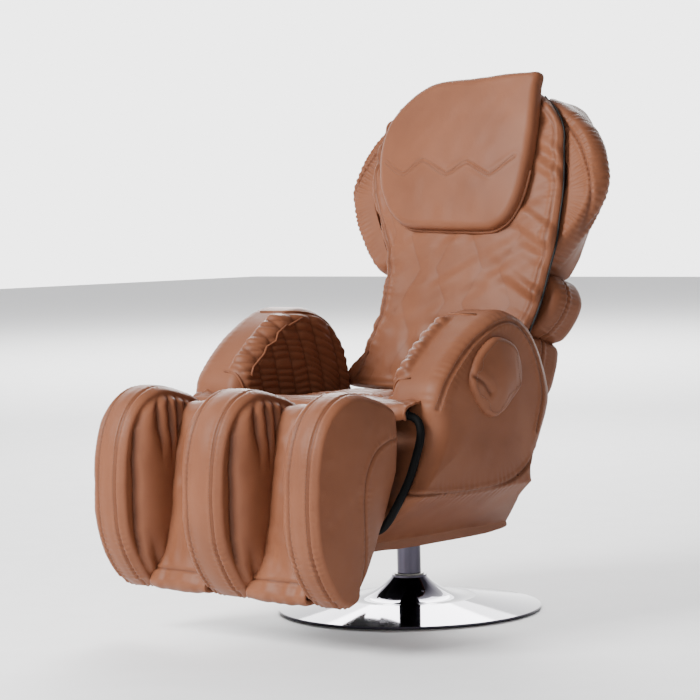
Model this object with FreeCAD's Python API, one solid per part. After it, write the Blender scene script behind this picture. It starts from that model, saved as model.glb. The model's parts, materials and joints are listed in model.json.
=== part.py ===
"""Compact massage chair on a round swivel base.

Millimetres, +Z up. The origin is the centre of the base on the floor, the chair
faces -Y, and +X is the sitter's left. One STEP file is written for each sub-part.
"""
import FreeCAD, Part
import math
import os

V = FreeCAD.Vector

# ---- driving dimensions -------------------------------------------------------
BASE_R = 275.0            # chrome foot
BASE_TOP_Z = 74.0         # neck of the foot
NECK_R = 37.0
POST_R = 22.0             # fixed post inside the swivel sleeve
SLEEVE_R = 25.0
RUN = 0.05                # radial running clearance
SEAT_Z = 172.0            # underside of the swivel plate
PAN_Z = 179.0             # underside of the seat body
SEAT_TOP = 446.0          # top of the seat cushion
ARM_IN = 206.0            # inner plane of an arm
ARM_OUT = 345.0           # outer plane of an arm
LEAN = 17.0               # backrest lean from vertical, degrees
HINGE_Y, HINGE_Z = 125.0, 400.0       # recline axis
LIFT_Y, LIFT_Z = -400.0, 440.0        # leg rest axis
LIFT_X = 199.0            # inner face of the leg rest hinge brackets
ACT_X = 39.0              # actuators' centre planes, +X recline and -X leg rest
CLEAR = 0.5               # gap between separate soft pieces

# arm outline, (y, z), from the lower front corner over the top to the lower rear
ARM_OUTLINE = [
    (-360, 178), (-374, 226), (-380, 276), (-345, 322), (-320, 366), (-303, 410),
    (-299, 450), (-288, 496), (-256, 535), (-220, 568), (-181, 597), (-141, 619),
    (-109, 631), (-76, 635), (-44, 628), (-12, 612), (18, 584), (42, 545), (58, 505),
    (66, 465), (58, 425), (34, 369), (12, 332), (4, 290), (14, 247), (30, 211), (40, 178)]
ARM_MIDDLE = (-150.0, 400.0)
# how the arm is rounded across its width: (x, scale of the outline)
ARM_STATIONS = [(206, 0.93), (232, 0.985), (270, 1.0), (306, 1.0), (332, 0.965), (345, 0.90)]
ARM_HOLLOW = [(205, 0.875), (232, 0.93), (270, 0.945), (306, 0.945), (323, 0.91), (336, 0.845)]
ARM_PADDING = 12.0

# leg rest: its rear face, (y, z), from top to bottom, and the front of a ridge
REAR_LINE = [(-370, 398), (-372, 350), (-386, 305), (-404, 265), (-427, 222),
             (-450, 180), (-470, 145), (-492, 118)]
RIDGE_FRONT = [(-378, 450), (-392, 466), (-434, 482), (-490, 494), (-530, 484),
               (-566, 458), (-592, 415), (-606, 355), (-610, 280), (-604, 215),
               (-586, 165), (-555, 118), (-525, 97), (-500, 102)]
RIDGE_IN, RIDGE_OUT = 215.0, 308.0
CENTRE_HALF = 56.0

# backrest half widths at heights w along its own lean
SHELL_SIDE = [(-15, 184), (60, 192), (180, 184), (300, 178), (360, 190), (420, 224),
              (500, 244), (570, 236), (620, 198), (660, 148), (686, 95)]
COVER_SIDE = [(42, 205), (120, 200), (170, 192), (225, 192), (280, 202), (330, 216),
              (380, 236), (430, 262), (500, 284), (555, 284), (610, 262), (650, 226),
              (690, 172), (712, 100)]
PILLOW_SIDE = [(382, 100), (390, 130), (412, 164), (452, 190), (500, 202), (560, 208),
               (610, 206), (660, 194), (700, 186), (718, 176)]
WING = [(186, 318), (214, 300), (250, 332), (282, 370), (312, 410), (336, 455), (346, 505),
        (327, 565), (287, 620), (226, 664), (172, 690), (178, 668), (216, 626), (242, 575),
        (248, 500), (240, 420), (209, 358)]
WAIST_PAD = [(191, 180), (232, 174), (264, 205), (278, 240), (277, 266), (262, 291),
             (236, 304), (191, 292)]
LUMBAR_PAD = [(195, 40), (226, 60), (238, 92), (239, 122), (236, 150), (228, 166), (194, 172)]


# ---- helpers --------------------------------------------------------------------
def box(x0, x1, y0, y1, z0, z1):
    return Part.makeBox(x1 - x0, y1 - y0, z1 - z0, V(x0, y0, z0))


def rod(radius, start, end):
    along = V(*end) - V(*start)
    return Part.makeCylinder(radius, along.Length, V(*start), along)


def prism_x(points, x0, x1):
    """Extrude a (y, z) polygon along X."""
    wire = Part.makePolygon([V(x0, y, z) for y, z in points + points[:1]])
    return Part.Face(wire).extrude(V(x1 - x0, 0, 0))


def loft_x(points, stations, middle):
    """Loft a (y, z) polygon along X, scaled about its middle at each station."""
    wires = []
    for x, scale in stations:
        ring = [V(x, middle[0] + (y - middle[0]) * scale, middle[1] + (z - middle[1]) * scale)
                for y, z in points]
        wires.append(Part.makePolygon(ring + ring[:1]))
    return Part.makeLoft(wires, True, True)


def loft_y(points, stations, middle):
    """Loft an (x, z) polygon along Y, scaled about its middle at each station."""
    wires = []
    for y, scale in stations:
        ring = [V(middle[0] + (x - middle[0]) * scale, y, middle[1] + (z - middle[1]) * scale)
                for x, z in points]
        wires.append(Part.makePolygon(ring + ring[:1]))
    return Part.makeLoft(wires, True, True)


def mirrored(shape):
    return shape.mirror(V(0, 0, 0), V(1, 0, 0))


def both(shape):
    return Part.makeCompound([shape, mirrored(shape)])


def both_sides(half):
    """Close a half outline (w, half width) into a symmetric (x, w) polygon."""
    return [(x, w) for w, x in half] + [(-x, w) for w, x in reversed(half)]


def shifted(line, dy):
    return [(y + dy, z) for y, z in line]


def layer(line, near, far, x0, x1):
    """A slab that follows a (y, z) line, between two depths in front of it."""
    return prism_x(shifted(line, -near) + shifted(line, -far)[::-1], x0, x1)


def lean(shape):
    """Put a backrest piece, made upright about the hinge, in its leaning place."""
    out = shape.copy()
    out.rotate(V(0, 0, 0), V(1, 0, 0), -LEAN)
    out.translate(V(0, HINGE_Y, HINGE_Z))
    return out


def save(name, shape):
    shape.exportStep(f"parts/{name}.step")


# ---- base -------------------------------------------------------------------------
FLOOR_PAD_T = 3.0
BALLAST_R, BALLAST_STEP_R = 150.0, 90.0
FLANGE_R, FLANGE_BOLT_R = 55.0, 42.0


def floor_pad():
    return Part.makeCylinder(BASE_R - 7, FLOOR_PAD_T)


def base_disc():
    """Spun chrome foot: a thin shallow cone that sweeps up into a neck."""
    wall = 3.0
    flat_r, flat_z, bend = 140.0, 28.0, (69.0, 44.0)
    outer = [Part.LineSegment(V(BASE_R, 0, FLOOR_PAD_T), V(BASE_R, 0, 7)),
             Part.LineSegment(V(BASE_R, 0, 7), V(flat_r, 0, flat_z)),
             Part.Arc(V(flat_r, 0, flat_z), V(bend[0], 0, bend[1]), V(NECK_R, 0, BASE_TOP_Z - 4)),
             Part.LineSegment(V(NECK_R, 0, BASE_TOP_Z - 4), V(NECK_R, 0, BASE_TOP_Z)),
             Part.LineSegment(V(NECK_R, 0, BASE_TOP_Z), V(POST_R + 0.1, 0, BASE_TOP_Z)),
             Part.LineSegment(V(POST_R + 0.1, 0, BASE_TOP_Z), V(POST_R + 0.1, 0, BASE_TOP_Z - wall)),
             Part.LineSegment(V(POST_R + 0.1, 0, BASE_TOP_Z - wall),
                              V(NECK_R - wall, 0, BASE_TOP_Z - wall)),
             Part.Arc(V(NECK_R - wall, 0, BASE_TOP_Z - wall),
                      V(bend[0] - 2.2, 0, bend[1] - 2.4), V(flat_r, 0, flat_z - wall)),
             Part.LineSegment(V(flat_r, 0, flat_z - wall), V(BASE_R - 3, 0, FLOOR_PAD_T)),
             Part.LineSegment(V(BASE_R - 3, 0, FLOOR_PAD_T), V(BASE_R, 0, FLOOR_PAD_T))]
    face = Part.Face(Part.Wire([curve.toShape() for curve in outer]))
    return face.revolve(V(0, 0, 0), V(0, 0, 1), 360)


def bolt_circle(radius, z0, z1, count, on_circle):
    return [rod(radius, (on_circle * math.cos(a), on_circle * math.sin(a), z0),
                (on_circle * math.cos(a), on_circle * math.sin(a), z1))
            for a in (2 * math.pi * (i + 0.5) / count for i in range(count))]


def ballast():
    plate = Part.makeCylinder(BALLAST_R, 5.5, V(0, 0, 3.2))
    step = Part.makeCylinder(BALLAST_STEP_R, 7.3, V(0, 0, 8.7))
    block = plate.fuse(step).removeSplitter()
    return block.cut(bolt_circle(4.0, 5, 20, 4, FLANGE_BOLT_R))


def base_post():
    flange = Part.makeCylinder(FLANGE_R, 4, V(0, 0, 16.1))
    tube = Part.makeCylinder(POST_R, 136, V(0, 0, 16.1))
    bore = Part.makeCylinder(POST_R - 4, 140, V(0, 0, 16.0))
    post = flange.fuse(tube).cut(bore)
    return post.cut(bolt_circle(4.0, 10, 25, 4, FLANGE_BOLT_R))


def base_bolts():
    bolts = []
    for shank, head in zip(bolt_circle(4.0, 6, 20.1, 4, FLANGE_BOLT_R),
                           bolt_circle(7.0, 20.1, 25, 4, FLANGE_BOLT_R)):
        bolts.append(shank.fuse(head).removeSplitter())
    return Part.makeCompound(bolts)


def swivel_washer():
    ring = Part.makeCylinder(31, 2.8, V(0, 0, BASE_TOP_Z))
    return ring.cut(Part.makeCylinder(POST_R + RUN, 6, V(0, 0, BASE_TOP_Z - 1)))


# ---- seat structure ---------------------------------------------------------------
RAIL_X, RAIL_W = 85.0, 30.0
RAIL_Z = 184.0
PLATE_BOLTS = [(sx * 100.0, y) for sx in (-1, 1) for y in (-80.0, 15.0)]
CROSS_Z = 214.5
BAR_Y = [(-330, -302), (-222, -188), (-87, -53), (4, 32)]
SWITCH_X, SWITCH_Z = 120.0, 300.0
REAR_Y = 40.0


def swivel_sleeve():
    tube = Part.makeCylinder(SLEEVE_R, SEAT_Z - BASE_TOP_Z - 3, V(0, 0, BASE_TOP_Z + 3))
    return tube.cut(Part.makeCylinder(POST_R + RUN, 200, V(0, 0, BASE_TOP_Z)))


def drill(shape, radius, places, z0, z1):
    for x, y in places:
        shape = shape.cut(rod(radius, (x, y, z0), (x, y, z1)))
    return shape


def swivel_plate():
    plate = box(-125, 125, -105, 36, SEAT_Z, SEAT_Z + 6)
    return drill(plate, 5.2, PLATE_BOLTS, SEAT_Z - 1, SEAT_Z + 8)


def swivel_bolts():
    bolts = [rod(5.0, (x, y, SEAT_Z), (x, y, RAIL_Z + 12)).fuse(
        rod(8.5, (x, y, SEAT_Z - 5), (x, y, SEAT_Z))).removeSplitter() for x, y in PLATE_BOLTS]
    return Part.makeCompound(bolts)


def bottom_pan():
    """Black tray that closes the seat body from below."""
    pan = box(-203, 203, -352, 38, PAN_Z, PAN_Z + 4)
    return drill(pan, 5.2, PLATE_BOLTS, PAN_Z - 1, PAN_Z + 6)


def seat_rails():
    rail = box(RAIL_X, RAIL_X + RAIL_W, -337, 36, RAIL_Z, RAIL_Z + 30)
    rail = drill(rail, 5.0, [p for p in PLATE_BOLTS if p[0] > 0], RAIL_Z - 1, RAIL_Z + 12)
    return both(rail)


def seat_crossbars():
    halves = (198.5, 185.0, 185.0, 185.5)
    return Part.makeCompound([box(-half, half, y0, y1, CROSS_Z, CROSS_Z + 28)
                              for half, (y0, y1) in zip(halves, BAR_Y)])


def recline_bracket():
    """Plate that carries a recline pin behind the seat."""
    x0, x1 = 186.0, 194.0
    arm = prism_x([(4, 214), (36, 214), (100, 300), (149, 392), (146, 412), (104, 408),
                   (92, 380), (52, 306)], x0, x1)
    arm = arm.fuse(rod(25, (x0, HINGE_Y, HINGE_Z), (x1, HINGE_Y, HINGE_Z))).removeSplitter()
    return arm.cut(rod(8, (x0 - 1, HINGE_Y, HINGE_Z), (x1 + 1, HINGE_Y, HINGE_Z)))


def recline_pin():
    shank = rod(8, (171, HINGE_Y, HINGE_Z), (194, HINGE_Y, HINGE_Z))
    head = rod(12, (194, HINGE_Y, HINGE_Z), (199, HINGE_Y, HINGE_Z))
    return shank.fuse(head).removeSplitter()


def lift_bracket():
    """Plate that carries a leg rest pin in front of the seat."""
    x0, x1 = LIFT_X, LIFT_X + 4
    arm = prism_x([(-330, 214), (-302, 214), (-302, 240), (-326, 300), (-326, 424),
                   (-396, 454), (-404, 426), (-345, 400), (-345, 300)], x0, x1)
    arm = arm.fuse(rod(14, (x0, LIFT_Y, LIFT_Z), (x1, LIFT_Y, LIFT_Z))).removeSplitter()
    return arm.cut(rod(6, (x0 - 1, LIFT_Y, LIFT_Z), (x1 + 1, LIFT_Y, LIFT_Z)))


def lift_pin():
    return rod(6, (192.5, LIFT_Y, LIFT_Z), (LIFT_X + 4, LIFT_Y, LIFT_Z))


def seat_board():
    return box(-195, 195, -318, 34, 366, 380)


def board_legs():
    """Posts that carry the seat board on the crossbars."""
    places = [(sx * 170.0, y) for sx in (-1, 1) for y in (-316.0, 18.0)]
    return Part.makeCompound([box(x - 10, x + 10, y - 10, y + 10, CROSS_Z + 28, 366)
                              for x, y in places])


def front_panel():
    panel = box(-195, 195, -348, -338, 190, 428)
    return panel.cut(box(-ACT_X - 24, -ACT_X + 24, -380, -250, 262, 352))


def rear_panel():
    panel = box(-180, 180, REAR_Y, REAR_Y + 5, 184, 362)
    panel = panel.cut(box(ACT_X - 22, ACT_X + 22, 30, 60, 236, 316))
    return panel.cut(box(SWITCH_X - 22, SWITCH_X + 22, 30, 60, SWITCH_Z - 42, SWITCH_Z + 20))


# ---- seat upholstery and arms --------------------------------------------------------
def arm_taper(inset):
    """Side view from the front: an arm narrows below its waist seam."""
    profile = [(ARM_IN - 20, 186 + inset * 1.2), (214 - inset * 0.3, 186 + inset * 1.2),
               (ARM_OUT - inset, 292 + inset * 0.4), (ARM_OUT - inset, 720), (ARM_IN - 20, 720)]
    wire = Part.makePolygon([V(x, -600, z) for x, z in profile + profile[:1]])
    return Part.Face(wire).extrude(V(0, 900, 0))


def arm_casing():
    """Padded casing that is open towards the seat."""
    outer = loft_x(ARM_OUTLINE, ARM_STATIONS, ARM_MIDDLE).common(arm_taper(0))
    inner = loft_x(ARM_OUTLINE, ARM_HOLLOW, ARM_MIDDLE).common(arm_taper(ARM_PADDING))
    return outer.cut(inner)


ARM_PAD = [(-262, 452), (-266, 486), (-246, 530), (-206, 566), (-150, 596), (-90, 606),
           (-44, 598), (-10, 566), (14, 520), (24, 478), (22, 452)]


def arm_pad():
    return prism_x(ARM_PAD, 191, ARM_IN - CLEAR)


def arm_airbag():
    return box(212, 232, -210, -75, 420, 515)


def side_pocket():
    outline = [(-132, 583), (-95, 575), (-64, 555), (-55, 522), (-58, 487), (-84, 458),
               (-112, 438), (-143, 428), (-172, 440), (-197, 468), (-212, 502), (-198, 540),
               (-167, 568)]
    return loft_x(outline, [(ARM_OUT + 0.2, 1.0), (356, 0.93), (366, 0.72)], (-134, 506))


def seat_cushion():
    outline = [(-294, 388), (50, 388), (62, 402), (62, 430), (44, 444), (-80, SEAT_TOP),
               (-260, SEAT_TOP), (-294, 438)]
    return loft_x(outline, [(-190, 0.9), (-176, 1.0), (176, 1.0), (190, 0.9)], (-130, 415))


def seat_airbags():
    return both(box(12, 176, -240, -20, 380.2, 387.5))


def seat_flap():
    """Leather flap that hangs over the seat's front edge, with a folded tab at each end."""
    wide = prism_x([(-343, 434), (-346, 448), (-338, 461), (-303.5, 466), (-303.5, 452),
                    (-331, 449), (-335, 434)], -272, 272)
    tongue = prism_x([(-303.5, 452), (-303.5, 466), (-262, 460), (-262, 447.5)], -185, 185)
    return wide.fuse(tongue).removeSplitter()


HOSE_R = 8.0
HOSE_ROUTE = [(287, -324, 443), (300, -317, 439), (311, -316, 424), (317, -322, 400),
              (317, -337, 366), (316, -357, 322), (313, -388, 280), (306, -402, 254),
              (293, -407, 236), (277, -408, 227), (262, -407, 224), (250, -401, 223),
              (246, -390, 223)]


def rounded_path(route, share=0.45):
    """Straight runs joined by tangent arcs, each as large as its two runs allow."""
    points = [V(*p) for p in route]
    edges = []
    start = points[0]
    for before, corner, after in zip(points, points[1:], points[2:]):
        back = before - corner
        ahead = after - corner
        reach = share * min(back.Length, ahead.Length)
        turn = math.pi - back.getAngle(ahead)
        radius = reach / math.tan(turn / 2)
        back.normalize()
        ahead.normalize()
        first = corner + back * reach
        last = corner + ahead * reach
        bisector = back + ahead
        bisector.normalize()
        centre = corner + bisector * math.hypot(radius, reach)
        middle = centre - bisector * radius
        edges.append(Part.LineSegment(start, first).toShape())
        edges.append(Part.Arc(first, middle, last).toShape())
        start = last
    edges.append(Part.LineSegment(start, points[-1]).toShape())
    return Part.Wire(edges)


def air_hose():
    path = rounded_path(HOSE_ROUTE)
    heading = V(*HOSE_ROUTE[1]) - V(*HOSE_ROUTE[0])
    ring = Part.Wire(Part.makeCircle(HOSE_R, V(*HOSE_ROUTE[0]), heading))
    return path.makePipeShell([ring], True, False, 1)


def hose_glands():
    """A collar at each end of the hose."""
    glands = []
    for end, inner in ((HOSE_ROUTE[0], HOSE_ROUTE[1]), (HOSE_ROUTE[-1], HOSE_ROUTE[-2])):
        outward = V(*end) - V(*inner)
        outward.normalize()
        glands.append(Part.makeCylinder(HOSE_R + 3, 12, V(*end), outward))
    return Part.makeCompound(glands)


# ---- machinery inside the seat -----------------------------------------------------
def air_pump():
    body = box(72, 168, -285, -195, 244, 322)
    motor = rod(24, (120, -194, 283), (120, -160, 283))
    return body.fuse(motor).removeSplitter()


def control_box():
    return box(-170, -76, -290, -190, 244, 300)


def power_inlet():
    plate = box(SWITCH_X - 21, SWITCH_X + 21, REAR_Y, REAR_Y + 4, SWITCH_Z - 41, SWITCH_Z + 19)
    body = box(SWITCH_X - 18, SWITCH_X + 18, REAR_Y - 26, REAR_Y, SWITCH_Z - 38, SWITCH_Z - 10)
    inlet = plate.fuse(body)
    inlet = inlet.cut(box(SWITCH_X - 13, SWITCH_X + 13, REAR_Y - 16, REAR_Y + 9,
                          SWITCH_Z - 32, SWITCH_Z - 16))
    return inlet.cut(box(SWITCH_X - 8, SWITCH_X + 8, REAR_Y - 2, REAR_Y + 9,
                         SWITCH_Z - 6, SWITCH_Z + 14)).removeSplitter()


def power_rocker():
    profile = [(REAR_Y + 1, SWITCH_Z - 3), (REAR_Y + 1, SWITCH_Z + 11), (REAR_Y + 6, SWITCH_Z + 11),
               (REAR_Y + 4.6, SWITCH_Z + 4), (REAR_Y + 6, SWITCH_Z - 3)]
    return prism_x(profile, SWITCH_X - 7, SWITCH_X + 7)


# ---- actuators ------------------------------------------------------------------------
RECLINE_PIVOT = (-205.0, 262.0)       # barrel pivot, (y, z)
RECLINE_EYE = (125.0, 280.0)          # rod eye at the lever, (y, z)
LIFT_PIVOT = (-70.0, 262.0)
LIFT_EYE = (-362.0, 318.0)
RECLINE_BARREL, RECLINE_REST = 170.0, 100.0    # barrel length, and where the rod starts in it
LIFT_BARREL, LIFT_REST = 200.0, 60.0


def along(start, end, distance):
    """A point on the line from start to end, given as (y, z)."""
    length = math.dist(start, end)
    return tuple(a + (b - a) * distance / length for a, b in zip(start, end))


def barrel(x, pivot, eye, length):
    tail = (x, *pivot)
    neck = (x, *along(pivot, eye, 26))
    tip = (x, *along(pivot, eye, length))
    body = rod(19, neck, tip).fuse(rod(9, tail, neck))
    body = body.fuse(rod(12, (x - 8, *pivot), (x + 8, *pivot)))
    body = body.cut(rod(6 + RUN, (x - 20, *pivot), (x + 20, *pivot)))
    return body.cut(rod(9 + RUN, (x, *along(pivot, eye, 40)), (x, *along(pivot, eye, length + 1))))


def piston(x, pivot, eye, start_at):
    start = (x, *along(pivot, eye, start_at))
    shaft = rod(9, start, (x, *along(eye, pivot, 12)))
    knuckle = rod(13, (x - 5, *eye), (x + 5, *eye))
    return shaft.fuse(knuckle).cut(rod(7, (x - 20, *eye), (x + 20, *eye)))


def actuator_bracket(x, pivot):
    """Clevis on the nearest crossbar, with its pin."""
    y, z = pivot
    cheeks = [box(side, side + 4, y - 12, y + 12, CROSS_Z + 28, z + 11)
              for side in (x - 13, x + 9)]
    pin = rod(6, (x - 13, y, z), (x + 13, y, z))
    return cheeks[0].fuse([cheeks[1], pin]).removeSplitter()


# ---- leg rest ---------------------------------------------------------------------------
LEG_SIDE = 292.0


def legrest_back():
    skin = layer(REAR_LINE, 0, 4, -LEG_SIDE, LEG_SIDE)
    return skin.cut(box(-ACT_X - 20, -ACT_X + 12, -420, -340, 280, 380))


def legrest_frame():
    upright = layer([(-373, 420)] + REAR_LINE[:-1], 6, 22, 165, 192)
    middle = [(-386, 305), (-396, 282)]
    lower = [(-450, 180), (-462, 158)]
    bars = [layer(line, 6, 22, -164.8, 164.8) for line in (middle, lower)]
    return Part.makeCompound([upright, mirrored(upright)] + bars)


def lift_ear():
    ear = prism_x([(-414, 452), (-386, 452), (-384, 400), (-388, 340), (-404, 340),
                   (-414, 400)], 192.5, 198.5)
    return ear.cut(rod(6 + RUN, (190, LIFT_Y, LIFT_Z), (200, LIFT_Y, LIFT_Z)))


def lift_lug():
    """Lug on the leg rest frame beside the actuator's eye."""
    x0 = -ACT_X - 16
    plate = prism_x([(-391, 284), (-391, 300), (-372, 334), (-356, 332), (-350, 318),
                     (-356, 304)], x0, x0 + 6)
    return plate.cut(rod(6, (x0 - 1, *LIFT_EYE), (x0 + 9, *LIFT_EYE)))


def legrest_board():
    return layer([(-370, 405)] + REAR_LINE[:-1], 23, 35, -191, 191)


def calf_airbags():
    bag = layer(REAR_LINE[1:-2], 35.5, 45, 66, 186)
    return both(bag)


def calf_pad():
    """Padded lining at the back of a calf channel."""
    top = [(-380, 432), (-372, 398)] + REAR_LINE[1:]
    front = [(-545, 118), (-532, 160), (-522, 215), (-510, 270), (-500, 320), (-486, 370),
             (-468, 410), (-444, 438)]
    return prism_x(shifted(top, -46) + front, CENTRE_HALF + CLEAR, 192)


def ridge(side):
    """A leg rest ridge; side is -1, 0 or 1."""
    outline = RIDGE_FRONT[::-1] + shifted([(-371, 430)] + REAR_LINE, -5)
    middle = (-490.0, 300.0)
    if side == 0:
        stations = [(-CENTRE_HALF, 0.93), (-40, 1.0), (40, 1.0), (CENTRE_HALF, 0.93)]
        front = [point for point in RIDGE_FRONT[::-1] if point[0] < -420]
        rear = shifted([(-384, 452), (-371, 410)] + REAR_LINE, -40)
        return loft_x(front + rear, stations, middle)
    stations = [(RIDGE_IN, 0.97), (232, 1.0), (288, 1.0), (RIDGE_OUT, 0.955)]
    solid = loft_x(outline, stations, middle)
    hollow = loft_x(outline, [(RIDGE_IN + 10, 0.9), (RIDGE_OUT - 11, 0.9)], middle)
    solid = solid.cut(hollow)
    return solid if side > 0 else mirrored(solid)


# ---- backrest -----------------------------------------------------------------------------
UPRIGHT_X = 140.0
GUIDE_X, GUIDE_R = 112.0, 7.0
SCREW_R = 6.0
W_LOW, W_HIGH = 60.0, 580.0
COVER_FRONT, COVER_RIM, COVER_BACK = -76.0, -63.0, -50.0
CARRIAGE_W = 330.0
KNEAD_V = -15.0
ROLLER_R, ROLLER_REACH = 20.0, 46.0
ROLLER_X0, ROLLER_X1 = 48.0, 72.0
ROCKER_X = (40.0, 46.0)
SHAFT_R, AXLE_R = 6.0, 4.0


def back_uprights():
    return lean(both(box(UPRIGHT_X, UPRIGHT_X + 30, -14, 14, -28, 600)))


def back_crossbars():
    bars = []
    for w in (W_LOW - 20, W_HIGH):
        bar = box(-UPRIGHT_X, UPRIGHT_X, -11, 11, w, w + 20)
        bars.append(bar.cut(rod(SCREW_R + RUN, (0, 0, w - 1), (0, 0, w + 21))))
    return lean(Part.makeCompound(bars))


def recline_ear():
    x0, x1 = 171.0, 179.0
    ear = box(x0, x1, -22, 22, 0, 90).fuse(rod(22, (x0, 0, 0), (x1, 0, 0))).removeSplitter()
    return ear.cut(rod(8 + RUN, (x0 - 1, 0, 0), (x1 + 1, 0, 0)))


def recline_lever():
    """Plate under the hinge that the recline actuator pulls."""
    x0 = ACT_X + 10
    plate = prism_x([(112, 428), (150, 416), (137, 276), (128, 266), (116, 274)], x0, x0 + 6)
    return plate.cut(rod(6, (x0 - 1, *RECLINE_EYE), (x0 + 8, *RECLINE_EYE)))


def lever_bar():
    """Crossbar between the uprights at the hinge, which the lever is welded to."""
    return lean(box(-UPRIGHT_X, UPRIGHT_X, -10, 10, 2, 22))


def guide_rails():
    return lean(both(rod(GUIDE_R, (GUIDE_X, 0, W_LOW), (GUIDE_X, 0, W_HIGH))))


def lead_screw():
    return lean(rod(SCREW_R, (0, 0, W_LOW - 19), (0, 0, W_HIGH + 18)))


def screw_motor():
    case = box(-32, 32, 12, 52, 24, 84)
    gearbox = box(-20, 20, -14, 30, 24, 39.5)
    return lean(case.fuse(gearbox).removeSplitter())


def carriage_frame():
    w0, w1 = CARRIAGE_W - 60, CARRIAGE_W + 60
    frame = box(-124, 124, 12, 17, w0, w1)
    blocks = [box(s * GUIDE_X - 12, s * GUIDE_X + 12, -12, 12, w, w + 30)
              for s in (-1, 1) for w in (w0, w1 - 30)]
    lugs = [box(s * 84 - 4, s * 84 + 4, KNEAD_V - 12, 12, CARRIAGE_W - 12, CARRIAGE_W + 12)
            for s in (-1, 1)]
    frame = frame.fuse(blocks + lugs).removeSplitter()
    for s in (-1, 1):
        frame = frame.cut(rod(GUIDE_R + RUN, (s * GUIDE_X, 0, w0 - 1), (s * GUIDE_X, 0, w1 + 1)))
    return lean(frame.cut(rod(SHAFT_R, (-90, KNEAD_V, CARRIAGE_W), (90, KNEAD_V, CARRIAGE_W))))


def carriage_nut():
    nut = box(-14, 14, -11, 11.9, CARRIAGE_W + 26, CARRIAGE_W + 56)
    return lean(nut.cut(rod(SCREW_R + RUN, (0, 0, CARRIAGE_W), (0, 0, CARRIAGE_W + 60))))


def massage_motor():
    case = box(-70, 70, 17.1, 30, CARRIAGE_W - 40, CARRIAGE_W + 40)
    can = rod(20, (-60, 40, CARRIAGE_W - 14), (40, 40, CARRIAGE_W - 14))
    return lean(case.fuse(can).removeSplitter())


def knead_shaft():
    shaft = rod(SHAFT_R, (-88, KNEAD_V, CARRIAGE_W), (88, KNEAD_V, CARRIAGE_W))
    screw_gap = rod(SCREW_R + 3, (0, 0, CARRIAGE_W - 60), (0, 0, CARRIAGE_W + 60))
    return lean(shaft.cut(screw_gap))


def knead_arms():
    """Rocking plates that carry a roller axle at each end."""
    front, back, waist = KNEAD_V - 6, KNEAD_V + 4, KNEAD_V + 12
    low, high = CARRIAGE_W - ROLLER_REACH - 9, CARRIAGE_W + ROLLER_REACH + 9
    arm = prism_x([(front, low), (back, low), (waist, CARRIAGE_W), (back, high),
                   (front, high), (KNEAD_V - 10, CARRIAGE_W)], *ROCKER_X)
    arm = arm.cut(rod(SHAFT_R + RUN, (30, KNEAD_V, CARRIAGE_W), (60, KNEAD_V, CARRIAGE_W)))
    return lean(both(arm))


def roller_axles():
    pins = []
    for end in (-1, 1):
        w = CARRIAGE_W + end * ROLLER_REACH
        pins.append(rod(AXLE_R, (ROCKER_X[1], KNEAD_V, w), (ROLLER_X1 + 2, KNEAD_V, w)))
    return lean(both(Part.makeCompound(pins)))


def roller_pair(end):
    """The two wheels that turn on one axle; end is 1 for the upper axle, -1 for the lower."""
    w = CARRIAGE_W + end * ROLLER_REACH
    wheel = rod(ROLLER_R, (ROLLER_X0, KNEAD_V, w), (ROLLER_X1, KNEAD_V, w))
    rims = [edge for edge in wheel.Edges if edge.Length > math.pi * ROLLER_R]
    wheel = wheel.makeFillet(6, rims)
    bore = rod(AXLE_R + RUN, (ROLLER_X0 - 1, KNEAD_V, w), (ROLLER_X1 + 1, KNEAD_V, w))
    return lean(both(wheel.cut(bore)))


def back_shell():
    outline = both_sides(SHELL_SIDE)
    middle = (0.0, 320.0)
    outer = loft_y(outline, [(-46, 1.0), (30, 1.0), (60, 0.93), (78, 0.8)], middle)
    inner = loft_y(outline, [(-47, 0.972), (28, 0.972), (56, 0.905), (72, 0.775)], middle)
    mouth = box(-190, 190, -50, 30, -20, 30)
    return lean(outer.cut([inner, mouth]))


def wing():
    stations = [(-49.5, 0.93), (-36, 0.985), (-20, 1.0), (30, 1.0), (50, 0.95), (64, 0.82)]
    return lean(loft_y(WING, stations, (270.0, 490.0)))


def waist_pad():
    stations = [(-40, 0.75), (-20, 0.97), (40, 1.0), (62, 0.8)]
    return lean(loft_y(WAIST_PAD, stations, (225.0, 238.0)))


def lumbar_pad():
    stations = [(-42, 0.8), (-26, 0.97), (40, 1.0), (60, 0.85)]
    return lean(loft_y(LUMBAR_PAD, stations, (210.0, 110.0)))


def back_cover():
    """Quilted cover: a crowned front on a narrower backing."""
    outline = both_sides(COVER_SIDE)
    middle = (0.0, 380.0)
    crown = loft_y(outline, [(COVER_FRONT, 0.95), (COVER_RIM, 1.0), (COVER_RIM + 1, 1.0)], middle)
    backing = loft_y(outline, [(COVER_RIM + 1, 0.93), (COVER_BACK, 0.93)], middle)
    return lean(crown.fuse(backing).removeSplitter())


PILLOW_FRONT, PILLOW_BACK = -106.0, COVER_FRONT - 0.6


def head_pillow():
    outline = both_sides(PILLOW_SIDE)
    return lean(loft_y(outline, [(PILLOW_FRONT, 0.92), (-96, 1.0), (PILLOW_BACK, 0.985)], (0, 550)))


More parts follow.
